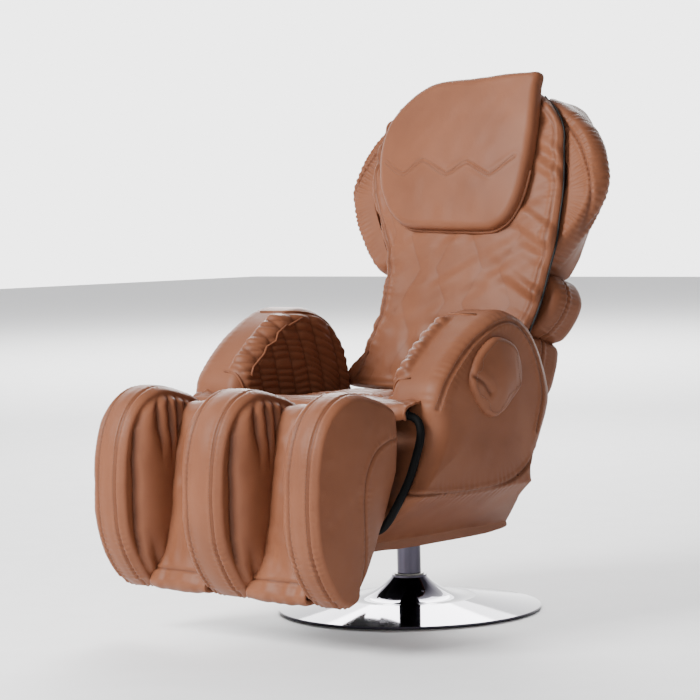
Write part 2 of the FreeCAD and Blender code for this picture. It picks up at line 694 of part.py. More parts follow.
# ---- the whole chair -----------------------------------------------------------------------
def main():
    os.makedirs("parts", exist_ok=True)
    join = Part.makeCompound
    nodes = {
        "floor_pad": floor_pad(), "base_disc": base_disc(), "base_ballast": ballast(),
        "base_post": base_post(), "base_bolts": base_bolts(), "swivel_washer": swivel_washer(),
        "swivel_sleeve": swivel_sleeve(), "swivel_plate": swivel_plate(),
        "swivel_bolts": swivel_bolts(), "bottom_pan": bottom_pan(),
        "seat_frame": join([seat_rails(), seat_crossbars(), board_legs()]),
        "hinge_brackets": join([both(recline_bracket()), both(lift_bracket())]),
        "hinge_pins": join([both(recline_pin()), both(lift_pin())]),
        "seat_board": seat_board(), "front_panel": front_panel(), "rear_panel": rear_panel(),
        "arm_left": arm_casing(), "arm_right": mirrored(arm_casing()), "arm_pads": both(arm_pad()),
        "side_pocket": side_pocket(), "seat_cushion": seat_cushion(),
        "seat_airbags": join([seat_airbags(), both(arm_airbag())]), "seat_flap": seat_flap(),
        "air_hose": air_hose(), "hose_glands": hose_glands(), "air_pump": air_pump(),
        "control_box": control_box(), "power_inlet": power_inlet(),
        "power_rocker": power_rocker(),
        "actuator_brackets": join([actuator_bracket(ACT_X, RECLINE_PIVOT),
                                   actuator_bracket(-ACT_X, LIFT_PIVOT)]),
        "recline_barrel": barrel(ACT_X, RECLINE_PIVOT, RECLINE_EYE, RECLINE_BARREL),
        "recline_piston": piston(ACT_X, RECLINE_PIVOT, RECLINE_EYE, RECLINE_REST),
        "lift_barrel": barrel(-ACT_X, LIFT_PIVOT, LIFT_EYE, LIFT_BARREL),
        "lift_piston": piston(-ACT_X, LIFT_PIVOT, LIFT_EYE, LIFT_REST),
        "legrest_back": legrest_back(),
        "legrest_frame": join([legrest_frame(), both(lift_ear()), lift_lug()]),
        "legrest_board": legrest_board(), "calf_airbags": calf_airbags(),
        "calf_pad_left": calf_pad(), "calf_pad_right": mirrored(calf_pad()),
        "ridge_left": ridge(1), "ridge_centre": ridge(0), "ridge_right": ridge(-1),
        "back_frame": join([back_uprights(), back_crossbars(), lever_bar(),
                            both(lean(recline_ear())), recline_lever()]),
        "guide_rails": guide_rails(), "lead_screw": lead_screw(), "screw_motor": screw_motor(),
        "carriage_frame": carriage_frame(), "carriage_nut": carriage_nut(),
        "massage_motor": massage_motor(), "knead_shaft": knead_shaft(),
        "knead_arms": join([knead_arms(), roller_axles()]),
        "rollers_upper": roller_pair(1), "rollers_lower": roller_pair(-1),
        "back_shell": back_shell(), "wing_left": wing(), "wing_right": mirrored(wing()),
        "back_side_pads": join([waist_pad(), lumbar_pad()]),
        "back_cover": back_cover(), "head_pillow": head_pillow(),
    }
    for name, shape in nodes.items():
        if not shape.isValid():
            print("invalid", name)
        save(name, shape)
    print(len(nodes), "nodes")


main()
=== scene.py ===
"""Looks of the compact massage chair: upholstery, trim, materials, light and camera."""
import json
import math

import bmesh
import bpy
import numpy as np
from mathutils import Matrix, Vector
from mathutils.bvhtree import BVHTree


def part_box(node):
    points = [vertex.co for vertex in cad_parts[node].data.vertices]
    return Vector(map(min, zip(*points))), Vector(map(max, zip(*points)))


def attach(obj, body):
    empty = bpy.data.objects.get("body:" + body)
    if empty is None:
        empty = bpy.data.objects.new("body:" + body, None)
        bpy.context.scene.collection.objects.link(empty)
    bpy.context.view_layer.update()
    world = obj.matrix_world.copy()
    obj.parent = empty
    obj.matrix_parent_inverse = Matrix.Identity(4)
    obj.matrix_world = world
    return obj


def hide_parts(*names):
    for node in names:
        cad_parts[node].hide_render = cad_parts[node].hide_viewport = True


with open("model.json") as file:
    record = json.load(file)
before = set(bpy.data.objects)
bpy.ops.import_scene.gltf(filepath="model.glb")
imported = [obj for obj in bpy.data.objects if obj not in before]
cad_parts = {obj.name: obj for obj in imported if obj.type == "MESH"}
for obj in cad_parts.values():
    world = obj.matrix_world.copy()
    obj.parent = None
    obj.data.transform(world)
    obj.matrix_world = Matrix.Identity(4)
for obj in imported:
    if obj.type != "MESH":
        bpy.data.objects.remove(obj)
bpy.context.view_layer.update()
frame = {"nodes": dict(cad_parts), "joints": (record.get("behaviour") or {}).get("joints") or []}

JOINTS = {joint["name"]: joint for joint in frame["joints"]}

# ---- camera ---------------------------------------------------------------------
CAMERA_PLACE = (3.4259, -3.9410, 0.8364)
CAMERA_YAW, CAMERA_PITCH, CAMERA_ROLL = 42.249, -3.169, -1.3     # degrees
CAMERA_LENS = 128.57


def add_camera():
    yaw, pitch, roll = (math.radians(a) for a in (CAMERA_YAW, CAMERA_PITCH, CAMERA_ROLL))
    ahead = Vector((-math.sin(yaw) * math.cos(pitch), math.cos(yaw) * math.cos(pitch),
                    math.sin(pitch)))
    level = Vector((math.cos(yaw), math.sin(yaw), 0))
    upright = level.cross(ahead)
    right = level * math.cos(roll) + upright * math.sin(roll)
    up = upright * math.cos(roll) - level * math.sin(roll)
    data = bpy.data.cameras.new("camera")
    data.lens = CAMERA_LENS
    data.sensor_width = 36
    data.clip_end = 50
    camera = bpy.data.objects.new("camera", data)
    turn = Matrix((right, up, -ahead)).transposed().to_4x4()
    camera.matrix_world = Matrix.Translation(CAMERA_PLACE) @ turn
    bpy.context.scene.collection.objects.link(camera)
    bpy.context.scene.camera = camera


add_camera()

# ---- driving dimensions, from the frame --------------------------------------------
LEAN = math.radians(17)                                  # backrest lean from vertical
HINGE = Vector(JOINTS["recline"]["pos_m"])
ARM_LOW, ARM_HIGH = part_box("arm_left")
ARM_IN = ARM_LOW.x
ARM_OUT = ARM_HIGH.x
RIDGE_LOW, RIDGE_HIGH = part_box("ridge_left")
CENTRE_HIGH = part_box("ridge_centre")[1]
SEAT_LOW, SEAT_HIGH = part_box("seat_cushion")


# ---- geometry helpers ---------------------------------------------------------------
def smooth_path(points, count, closed=False):
    """Points evenly spaced along a Catmull-Rom curve through the given ones."""
    pts = np.array(points, float)
    if closed:
        ext = np.vstack([pts[-1:], pts, pts[:2]])
    else:
        ext = np.vstack([2 * pts[0] - pts[1], pts, 2 * pts[-1] - pts[-2]])
    dense = []
    t = np.linspace(0, 1, 24, endpoint=False)[:, None]
    for p0, p1, p2, p3 in zip(ext, ext[1:], ext[2:], ext[3:]):
        dense.append(0.5 * (2 * p1 + (p2 - p0) * t + (2 * p0 - 5 * p1 + 4 * p2 - p3) * t ** 2
                            + (3 * p1 - p0 - 3 * p2 + p3) * t ** 3))
    dense = np.vstack(dense + [pts[:1] if closed else pts[-1:]])
    run = np.concatenate([[0], np.cumsum(np.linalg.norm(np.diff(dense, axis=0), axis=1))])
    at = np.linspace(0, run[-1], count, endpoint=not closed)
    return np.stack([np.interp(at, run, dense[:, k]) for k in range(dense.shape[1])], axis=1)


def path_reach(points, path):
    """Distance of each point to a path, and how far along the path its nearest point is."""
    flat = points.reshape(-1, path.shape[1])
    best = np.full(len(flat), 1e9)
    where = np.zeros(len(flat))
    run = 0.0
    for a, b in zip(path, path[1:]):
        edge = b - a
        length = max(np.linalg.norm(edge), 1e-9)
        t = np.clip((flat - a) @ edge / length ** 2, 0, 1)
        reach = np.linalg.norm(flat - a - t[:, None] * edge, axis=1)
        nearer = reach < best
        best = np.where(nearer, reach, best)
        where = np.where(nearer, run + t * length, where)
        run += length
    return best.reshape(points.shape[:-1]), where.reshape(points.shape[:-1])


def inside(points, path):
    """Whether each 2-D point lies inside a closed path."""
    x, y = points[..., 0], points[..., 1]
    hit = np.zeros(x.shape, bool)
    for (x0, y0), (x1, y1) in zip(path, np.roll(path, -1, axis=0)):
        crosses = (y0 > y) != (y1 > y)
        hit ^= crosses & (x < (x1 - x0) * (y - y0) / (y1 - y0 + 1e-12) + x0)
    return hit


def lattice(ix, iy, iz, seed):
    n = (ix * 374761393 + iy * 668265263 + iz * 1274126177 + seed * 974634777) & 0x7FFFFFFF
    n = ((n ^ (n >> 13)) * 1103515245) & 0x7FFFFFFF
    return ((n ^ (n >> 16)) & 0xFFFF) / 32767.5 - 1.0


def noise(points, size, seed=0):
    """Smooth value noise from -1 to 1; size is its feature size in metres."""
    q = points / size
    i = np.floor(q).astype(np.int64)
    f = q - i
    f = f * f * (3 - 2 * f)
    total = 0
    for dx in (0, 1):
        for dy in (0, 1):
            for dz in (0, 1):
                weight = (np.where(dx, f[..., 0], 1 - f[..., 0])
                          * np.where(dy, f[..., 1], 1 - f[..., 1])
                          * np.where(dz, f[..., 2], 1 - f[..., 2]))
                total = total + weight * lattice(i[..., 0] + dx, i[..., 1] + dy, i[..., 2] + dz, seed)
    return total


def fade(value, low, high):
    """0 below low, 1 above high, smooth between."""
    t = np.clip((value - low) / (high - low), 0, 1)
    return t * t * (3 - 2 * t)


def groove(reach, width=0.0022, depth=0.0022, puff=0.0008):
    """A sewn seam: a narrow valley with soft shoulders."""
    return (-depth * np.exp(-(reach / width) ** 2)
            + puff * np.exp(-((reach - 3.2 * width) / (2.0 * width)) ** 2))


def puckers(reach, run, pitch=0.009, far=0.016, depth=0.0007, seed=3):
    """Short wrinkles that leave a seam at right angles."""
    spot = np.stack([run, run * 0, run * 0], axis=-1)
    wobble = noise(spot, 0.03, seed) * 1.3
    strength = 0.55 + 0.45 * noise(spot, 0.05, seed + 1)
    wave = np.sin(2 * math.pi * (run / pitch + wobble))
    return depth * strength * wave * np.exp(-(reach / far) ** 2) * fade(reach, 0, 0.003)


def ruche(u, v, column, pitch, depth, seed=0):
    """Gathered leather: rows of stitching along v, with pleats that cross each column."""
    flat = np.stack([u, v, u * 0], axis=-1)
    bent = u / column + 0.12 * noise(flat, 0.06, seed)
    index = np.floor(bent)
    t = bent - index
    arch = np.sin(math.pi * np.clip(t, 0, 1)) ** 0.4
    offset = lattice(index.astype(np.int64), index.astype(np.int64) * 0, index.astype(np.int64) * 0, seed)
    phase = v / pitch + 0.5 * offset + 0.42 * noise(flat * np.array([0.45, 1, 1]), 0.030, seed + 1)
    ridge = np.abs(np.sin(math.pi * phase)) ** 0.75
    tall = 0.75 + 0.25 * noise(flat, 0.018, seed + 2)
    return depth * (arch * (0.22 + 0.78 * ridge * tall) - 0.15)


def grid_normals(grid, wrap):
    """Unit normals of a (rows, columns, 3) grid."""
    down = np.gradient(grid, axis=0)
    if wrap:
        across = (np.roll(grid, -1, axis=1) - np.roll(grid, 1, axis=1)) / 2
    else:
        across = np.gradient(grid, axis=1)
    out = np.cross(down, across)
    size = np.linalg.norm(out, axis=-1, keepdims=True)
    return out / np.maximum(size, 1e-12)


def lens_rows(width, front_edge, back_edge, radius, step):
    """Rows from the middle of the front face over its rim to the middle of the back face.

    Each row is (share of the flat face, inset from the outline, height); an edge is
    (inset, height) of its elliptic rounding."""
    rows = []
    count = max(6, int(radius / step))
    for k in range(count):
        rows.append((k / count, front_edge[0], width))
    arc = max(5, int(1.4 * max(front_edge) / step))
    for k in range(arc + 1):
        a = math.pi / 2 * k / arc
        rows.append((1.0, front_edge[0] * (1 - math.sin(a)), width - front_edge[1] * (1 - math.cos(a))))
    side = width - front_edge[1] - back_edge[1]
    count_side = max(1, int(side / step))
    for k in range(1, count_side):
        rows.append((1.0, 0.0, width - front_edge[1] - side * k / count_side))
    arc = max(5, int(1.4 * max(back_edge) / step))
    for k in range(arc + 1):
        a = math.pi / 2 * (1 - k / arc)
        rows.append((1.0, back_edge[0] * (1 - math.sin(a)), back_edge[1] * (1 - math.cos(a))))
    for k in range(1, count + 1):
        rows.append((1 - k / count, back_edge[0], 0.0))
    return np.array(rows)


def lens(outline, centre, width, front_edge, back_edge, step):
    """A closed pad with a rounded rim, as a grid of (a, b, height) points and its rows."""
    length = np.linalg.norm(np.diff(np.vstack([outline, outline[:1]]), axis=0), axis=1).sum()
    ring = smooth_path(outline, int(length / step), closed=True)
    arm = ring - np.array(centre)
    radius = np.linalg.norm(arm, axis=1)
    rows = lens_rows(width, front_edge, back_edge, float(radius.mean()), step)
    share, inset, height = rows[:, 0][:, None], rows[:, 1][:, None], rows[:, 2][:, None]
    reach = np.maximum(radius[None, :] - inset, 0.001) * share
    unit = arm / radius[:, None]
    flat = np.array(centre) + reach[..., None] * unit[None, :, :]
    grid = np.concatenate([flat, np.repeat(height, len(ring), axis=1)[..., None]], axis=2)
    return grid, rows


def new_mesh(name, verts, faces, crease_shade=None):
    mesh = bpy.data.meshes.new(name)
    mesh.from_pydata([tuple(v) for v in verts], [], faces)
    mesh.validate()
    # Painted shade: the per-vertex value stored here darkens the leather in grooves, seams and folds.
    if crease_shade is not None and len(crease_shade) == len(mesh.vertices):
        layer = mesh.attributes.new("crease_shade", "FLOAT", "POINT")
        layer.data.foreach_set("value", np.asarray(crease_shade, np.float32))
    mesh.shade_smooth()
    thing = bpy.data.objects.new(name, mesh)
    bpy.context.scene.collection.objects.link(thing)
    return thing


def lens_mesh(name, grid, crease_shade=None):
    """Mesh of a lens grid; its first and last rows are single points."""
    rows, columns = grid.shape[:2]
    body = grid[1:-1].reshape(-1, 3)
    top, bottom = len(body), len(body) + 1
    verts = np.vstack([body, grid[0].mean(axis=0)[None], grid[-1].mean(axis=0)[None]])
    faces = []
    for r in range(rows - 3):
        for c in range(columns):
            d = (c + 1) % columns
            faces.append((r * columns + c, (r + 1) * columns + c, (r + 1) * columns + d, r * columns + d))
    last = (rows - 3) * columns
    for c in range(columns):
        d = (c + 1) % columns
        faces.append((top, c, d))
        faces.append((bottom, last + d, last + c))
    shade = None
    if crease_shade is not None:
        shade = np.concatenate([crease_shade[1:-1].ravel(), [crease_shade[0].mean(), crease_shade[-1].mean()]])
    thing = new_mesh(name, verts, faces, shade)
    face_out(thing)
    return thing


def face_out(thing):
    work = bmesh.new()
    work.from_mesh(thing.data)
    bmesh.ops.recalc_face_normals(work, faces=work.faces)
    work.to_mesh(thing.data)
    work.free()
    thing.data.shade_smooth()


def sheet_mesh(name, grid, thick, crease_shade=None):
    """A closed thin skin from an open (rows, columns, 3) grid."""
    rows, columns = grid.shape[:2]
    under = grid - grid_normals(grid, False) * thick
    verts = np.vstack([grid.reshape(-1, 3), under.reshape(-1, 3)])
    size = rows * columns
    faces = []
    for r in range(rows - 1):
        for c in range(columns - 1):
            a = r * columns + c
            faces.append((a, a + columns, a + columns + 1, a + 1))
            faces.append((size + a, size + a + 1, size + a + columns + 1, size + a + columns))
    for r in range(rows - 1):
        for c in (0, columns - 1):
            a, b = r * columns + c, (r + 1) * columns + c
            faces.append((a, b, size + b, size + a))
    for c in range(columns - 1):
        for r in (0, rows - 1):
            a, b = r * columns + c, r * columns + c + 1
            faces.append((a, b, size + b, size + a))
    shade = None if crease_shade is None else np.concatenate([crease_shade.ravel(), crease_shade.ravel()])
    thing = new_mesh(name, verts, faces, shade)
    face_out(thing)
    return thing


def leaned(grid):
    """(x, w, forward) points of the backrest to the row frame."""
    x, w, forward = grid[..., 0], grid[..., 1], grid[..., 2]
    y = HINGE.y - forward * math.cos(LEAN) + w * math.sin(LEAN)
    z = HINGE.z + forward * math.sin(LEAN) + w * math.cos(LEAN)
    return np.stack([x, y, z], axis=-1)


def surface_of(thing):
    mesh = thing.data
    return BVHTree.FromPolygons([v.co for v in mesh.vertices], [p.vertices for p in mesh.polygons])


def tube(name, points, radius):
    """A round welt along a path."""
    data = bpy.data.curves.new(name, "CURVE")
    data.dimensions = "3D"
    data.bevel_depth = radius
    data.bevel_resolution = 3
    data.use_fill_caps = True
    line = data.splines.new("POLY")
    line.points.add(len(points) - 1)
    for spot, point in zip(line.points, points):
        spot.co = (*point, 1)
    thing = bpy.data.objects.new(name, data)
    bpy.context.scene.collection.objects.link(thing)
    return thing


def laid_on(points, tree, lift):
    """Points moved to just above the nearest spot of a surface."""
    spots = []
    for point in points:
        hit, normal, _, _ = tree.find_nearest(Vector(point))
        spots.append(np.array(hit + normal * lift))
    return np.array(spots)


STITCH_RING = [(math.cos(a), math.sin(a)) for a in (2 * math.pi * k / 6 for k in range(6))]


def stitches(name, lines, pitch=0.0055, length=0.0036, radius=0.00045):
    """Thread: short rounded dashes along lines of (points, normals)."""
    verts, faces = [], []
    for points, normals in lines:
        run = np.concatenate([[0], np.cumsum(np.linalg.norm(np.diff(points, axis=0), axis=1))])
        for start in np.arange(0.001, run[-1] - length, pitch):
            ends = [np.array([np.interp(s, run, points[:, k]) for k in range(3)])
                    for s in (start, start + length)]
            up = np.array([np.interp(start, run, normals[:, k]) for k in range(3)])
            along = ends[1] - ends[0]
            along /= max(np.linalg.norm(along), 1e-9)
            side = np.cross(along, up)
            side /= max(np.linalg.norm(side), 1e-9)
            up = np.cross(side, along)
            base = len(verts)
            for share, size in ((0, 0.35), (0.2, 1.0), (0.8, 1.0), (1, 0.35)):
                middle = ends[0] + (ends[1] - ends[0]) * share + up * radius * (0.5 if size < 1 else 0.9)
                for c, s in STITCH_RING:
                    verts.append(middle + (side * c * 1.3 + up * s) * radius * size)
            for ring in range(3):
                for k in range(6):
                    m = (k + 1) % 6
                    faces.append((base + ring * 6 + k, base + ring * 6 + m,
                                  base + ring * 6 + 6 + m, base + ring * 6 + 6 + k))
            faces.append(tuple(base + k for k in range(5, -1, -1)))
            faces.append(tuple(base + 18 + k for k in range(6)))
    return new_mesh(name, verts, faces)


def mirror_copy(thing, name):
    """The same piece on the chair's other side."""
    data = thing.data.copy()
    data.transform(Matrix.Scale(-1, 4, (1, 0, 0)))
    data.flip_normals()
    twin = bpy.data.objects.new(name, data)
    bpy.context.scene.collection.objects.link(twin)
    return twin


def raised(grid, height):
    """A closed grid pushed out along its normals."""
    out = grid_normals(grid, True)
    if ((grid - grid.reshape(-1, 3).mean(axis=0)) * out).sum() < 0:
        out = -out
    out[0], out[-1] = out[1].mean(axis=0), out[-2].mean(axis=0)
    return grid + out * height[..., None]


def cast_on(points, way, tree, lift):
    """Points sent along a direction to a surface, and the surface's normals there."""
    spots, normals = [], []
    for point in points:
        hit, normal, _, _ = tree.ray_cast(Vector(point), Vector(way))
        if hit is None:
            hit, normal, _, _ = tree.find_nearest(Vector(point))
        normal = normal if normal.dot(Vector(way)) < 0 else -normal
        spots.append(np.array(hit + normal * lift))
        normals.append(np.array(normal))
    return np.array(spots), np.array(normals)


def beside(path, gap):
    """A flat path moved sideways."""
    way = np.gradient(path, axis=0)
    way /= np.maximum(np.linalg.norm(way, axis=1, keepdims=True), 1e-9)
    return path + gap * np.stack([-way[:, 1], way[:, 0]], axis=1)


# ---- materials ------------------------------------------------------------------------
def shader(name, **sockets):
    """A new node material; returns (material, nodes, links, principled)."""
    material = bpy.data.materials.new(name)
    material.use_nodes = True
    nodes, links = material.node_tree.nodes, material.node_tree.links
    principled = nodes["Principled BSDF"]
    for key, value in sockets.items():
        principled.inputs[key.replace("_", " ")].default_value = value
    return material, nodes, links, principled


def grain(nodes, links, principled, scale, strength, distance=0.0004, kind="ShaderNodeTexNoise"):
    """Fine relief in the object's own space; returns the coordinate node."""
    place = nodes.new("ShaderNodeTexCoord")
    texture = nodes.new(kind)
    texture.inputs["Scale"].default_value = scale
    links.new(place.outputs["Object"], texture.inputs["Vector"])
    bump = nodes.new("ShaderNodeBump")
    bump.inputs["Strength"].default_value = strength
    bump.inputs["Distance"].default_value = distance
    links.new(texture.outputs[0], bump.inputs["Height"])
    links.new(bump.outputs["Normal"], principled.inputs["Normal"])
    return place


def two_tone(nodes, links, principled, place, scale, dark, light):
    """Base colour that drifts between two tones; returns the mixed colour's node."""
    drift = nodes.new("ShaderNodeTexNoise")
    drift.inputs["Scale"].default_value = scale
    drift.inputs["Detail"].default_value = 4
    links.new(place.outputs["Object"], drift.inputs["Vector"])
    ramp = nodes.new("ShaderNodeValToRGB")
    ramp.color_ramp.elements[0].position = 0.3
    ramp.color_ramp.elements[0].color = (*dark, 1)
    ramp.color_ramp.elements[1].position = 0.7
    ramp.color_ramp.elements[1].color = (*light, 1)
    links.new(drift.outputs["Fac"], ramp.inputs["Fac"])
    links.new(ramp.outputs["Color"], principled.inputs["Base Color"])
    return ramp


def leather(name, dark, light, roughness=0.48):
    """Grained polyurethane leather, with painted shade that darkens it in its creases."""
    material, nodes, links, principled = shader(
        name, Roughness=roughness, Specular_IOR_Level=0.16)
    place = grain(nodes, links, principled, 520, 0.28, 0.0005, "ShaderNodeTexVoronoi")
    ramp = two_tone(nodes, links, principled, place, 7, dark, light)
    # Painted shade: a per-vertex attribute mixes the colour towards a near-black brown in grooves, seams and
    # folds.
    crease_shade = nodes.new("ShaderNodeAttribute")
    crease_shade.attribute_name = "crease_shade"
    shade = nodes.new("ShaderNodeMix")
    shade.data_type = "RGBA"
    shade.blend_type = "MIX"
    shade.inputs["B"].default_value = (dark[0] * 0.30, dark[1] * 0.26, dark[2] * 0.26, 1)
    links.new(crease_shade.outputs["Fac"], shade.inputs["Factor"])
    links.new(ramp.outputs["Color"], shade.inputs["A"])
    links.new(shade.outputs["Result"], principled.inputs["Base Color"])
    return material


def metal(name, colour, roughness, streaks=0.05):
    material, nodes, links, principled = shader(name, Metallic=1.0, Roughness=roughness)
    place = grain(nodes, links, principled, 90, streaks)
    two_tone(nodes, links, principled, place, 5, [c * 0.94 for c in colour], colour)
    return material


def plain(name, dark, light, roughness, scale=300, strength=0.15, **more):
    material, nodes, links, principled = shader(name, Roughness=roughness, **more)
    place = grain(nodes, links, principled, scale, strength)
    two_tone(nodes, links, principled, place, 9, dark, light)
    return material


TAN = leather("tan_leather", (0.150, 0.054, 0.026), (0.190, 0.071, 0.035))
TAN_THREAD = plain("tan_thread", (0.10, 0.04, 0.02), (0.15, 0.065, 0.036), 0.6, 900)
FINISHES = {
    "tan_leather": TAN,
    # Painted reflection: the chrome's colour is kept dark and lilac-tinted to stand in for the dark,
    # lilac-grey room it reflects.
    "chrome": metal("chrome", (0.062, 0.056, 0.074), 0.05, 0.01),
    "black_steel": plain("black_steel", (0.012, 0.012, 0.013), (0.022, 0.022, 0.024), 0.45),
    "zinc_steel": metal("zinc_steel", (0.60, 0.60, 0.60), 0.32),
    "cast_iron": plain("cast_iron", (0.05, 0.05, 0.055), (0.09, 0.09, 0.095), 0.7, 120, 0.5),
    "rubber": plain("rubber", (0.015, 0.015, 0.015), (0.03, 0.03, 0.03), 0.8),
    "black_plastic": plain("black_plastic", (0.004, 0.004, 0.004), (0.008, 0.008, 0.008), 0.5,
                           Specular_IOR_Level=0.2),
    "roller_plastic": plain("roller_plastic", (0.42, 0.40, 0.36), (0.55, 0.53, 0.48), 0.4),
    "board": plain("board", (0.018, 0.016, 0.015), (0.034, 0.031, 0.029), 0.85, 60, 0.4),
    "airbag": plain("airbag", (0.03, 0.03, 0.032), (0.05, 0.05, 0.053), 0.55, 200, 0.3),
    "hose_sleeve": plain("hose_sleeve", (0.003, 0.003, 0.003), (0.006, 0.006, 0.006), 0.7, 600,
                         Specular_IOR_Level=0.12),
}


def dress_cad():
    for node in frame["nodes"].values():
        slot = node.data.materials[0].name.split(".")[0] if node.data.materials else "board"
        finish = FINISHES.get(slot, FINISHES["board"])
        node.data.materials.clear()
        node.data.materials.append(finish)


def finish_piece(thing, body, *nodes, material=TAN, slot="tan_leather", fill=None):
    """Material and body of one piece, and hides the CAD parts it replaces."""
    thing.data.materials.clear()
    thing.data.materials.append(material)
    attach(thing, body)
    if nodes:
        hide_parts(*nodes)
    return thing


def sew(name, lines, body, **sizes):
    return finish_piece(stitches(name, lines, **sizes), body, material=TAN_THREAD)


# ---- leg rest -----------------------------------------------------------------------------
REAR = [(-0.370, 0.398), (-0.372, 0.350), (-0.386, 0.305), (-0.404, 0.265), (-0.427, 0.222),
        (-0.450, 0.180), (-0.470, 0.145), (-0.492, 0.118)]
RIDGE_FRONT = [(-0.500, 0.102), (-0.525, 0.097), (-0.555, 0.118), (-0.586, 0.165),
               (-0.604, 0.215), (-0.610, 0.280), (-0.606, 0.355), (-0.592, 0.415),
               (-0.566, 0.458), (-0.530, 0.484), (-0.490, 0.494), (-0.434, 0.482),
               (-0.392, 0.466), (-0.378, 0.450)]
RIDGE_MIDDLE = (-0.490, 0.30)
BAND = 0.022                                  # how far a ridge's edge seams lie from its walls
OUTER_SEAM = [(-0.378, 0.404), (-0.408, 0.402), (-0.438, 0.392), (-0.462, 0.374),
              (-0.480, 0.345), (-0.488, 0.310), (-0.490, 0.270), (-0.486, 0.220),
              (-0.484, 0.170), (-0.490, 0.115)]


def front_of(z):
    """The y of a ridge's front at a height."""
    low_up = sorted(((p[1], p[0]) for p in RIDGE_FRONT[1:11]))
    return np.interp(z, [p[0] for p in low_up], [p[1] for p in low_up])


def wall_puff(y, z):
    """The gathered lining of a ridge wall: smooth in its middle, folded at both ends; also returns the
    painted shade laid into its folds and front edge.
    """
    low, high = 0.108, 0.478
    t = np.clip((z - low) / (high - low), 0, 1)
    front = front_of(z) + 0.008 + 0.022 * np.sin(math.pi * t)
    rear = -0.430 - 0.02 * np.cos(math.pi * t)
    s = np.clip((y - front) / (rear - front), 0, 1)
    within = (t > 0) & (t < 1)
    swell = 0.038 * np.sin(math.pi * s ** 0.85) ** 0.6 * np.sin(math.pi * t) ** 0.5
    ends = fade(np.abs(t - 0.47), 0.14, 0.44)
    flat = np.stack([s * 0.1, t * 0.1, s * 0], axis=-1)
    fold = np.abs(np.sin(math.pi * (5.2 * s + 0.7 * noise(flat, 0.035, 5)))) ** 0.8
    reach = np.sin(math.pi * s) ** 0.35 * np.sin(math.pi * t) ** 0.15
    folds = 0.0150 * ends * (fold - 0.65) * reach
    # dark is painted shade: the fold valleys near the ends and the groove at the lining's front edge are
    # darkened.
    dark = ends * np.clip(0.55 - fold, 0, 1) * 1.3 * reach * within
    edge = np.exp(-((y - front) / 0.004) ** 2) * fade(z, low, low + 0.04) * fade(-z, -high, -high + 0.04)
    return (swell + folds) * within - 0.004 * edge, np.clip(dark + 0.55 * edge, 0, 1)


def ridge(name, low_x, high_x, puff_low, puff_high, rear_shift):
    """One leg rest ridge between two x planes; its walls may carry gathered linings."""
    outline = RIDGE_FRONT + [(y + rear_shift, z) for y, z in REAR]
    width = high_x - low_x
    grid, rows = lens(outline, RIDGE_MIDDLE, width, (0.013, BAND), (0.013, BAND), 0.0032)
    y, z, h = grid[..., 0], grid[..., 1], grid[..., 2]
    ring = np.arange(grid.shape[1])[None, :] * 0.0032 + h * 0
    rim = (rows[:, 0] < 1)[:, None]
    height = np.zeros(h.shape)
    # Painted shade: the leather is darkened along the band seams, in the lining's folds and along the outer
    # seam.
    crease_shade = np.zeros(h.shape)
    for edge in (BAND, width - BAND):
        reach = np.abs(h - edge) + rim * 0.5
        height += groove(reach, 0.0020, 0.0030, 0.0014)
        height += puckers(reach, ring, 0.011, 0.013, 0.0008 + 0.0016 * fade(0.30 - z, 0, 0.2))
        crease_shade += 0.55 * np.exp(-(reach / 0.0016) ** 2)
    height += 0.0035 * np.sin(math.pi * np.clip((h - BAND) / (width - 2 * BAND), 0, 1)) * (1 - rim)
    points = np.stack([h, y, z], axis=-1)
    height += 0.0011 * noise(points, 0.05, 7) + 0.0005 * noise(points, 0.018, 8)
    swell, dark = wall_puff(y, z)
    flatness = rim * fade(1 - rows[:, 0], 0.0, 0.07)[:, None]
    for wanted, wall in ((puff_low, h < 1e-4), (puff_high, h > width - 1e-4)):
        if wanted:
            height += swell * wall * flatness
            crease_shade += dark * wall * flatness
        else:
            reach, run = path_reach(np.stack([y, z], axis=-1), smooth_path(OUTER_SEAM, 60))
            height += wall * (groove(reach) + puckers(reach, run, 0.012, 0.014, 0.0006))
            height += wall * 0.013 * rim * (1 - rows[:, 0][:, None] ** 2)
            crease_shade += wall * 0.5 * np.exp(-(reach / 0.0016) ** 2)
    solid = np.stack([low_x + h, y, z], axis=-1)
    thing = lens_mesh(name, raised(solid, height), np.clip(crease_shade, 0, 1))
    return thing


def band_stitches(low_x, high_x, tree):
    """Thread beside the two edge seams of a ridge's front band."""
    path = smooth_path(RIDGE_FRONT, 190)
    away = path - np.array(RIDGE_MIDDLE)
    start = np.array(RIDGE_MIDDLE) + away * 1.25
    lines = []
    for x in (low_x + BAND + 0.0045, high_x - BAND - 0.0045):
        spots, normals = [], []
        for (y, z), (ay, az) in zip(start, away):
            hit, normal, _, _ = tree.ray_cast(Vector((x, y, z)), Vector((0, -ay, -az)).normalized())
            if hit is not None:
                spots.append(np.array(hit))
                normals.append(np.array(normal))
        lines.append((np.array(spots), np.array(normals)))
    return lines


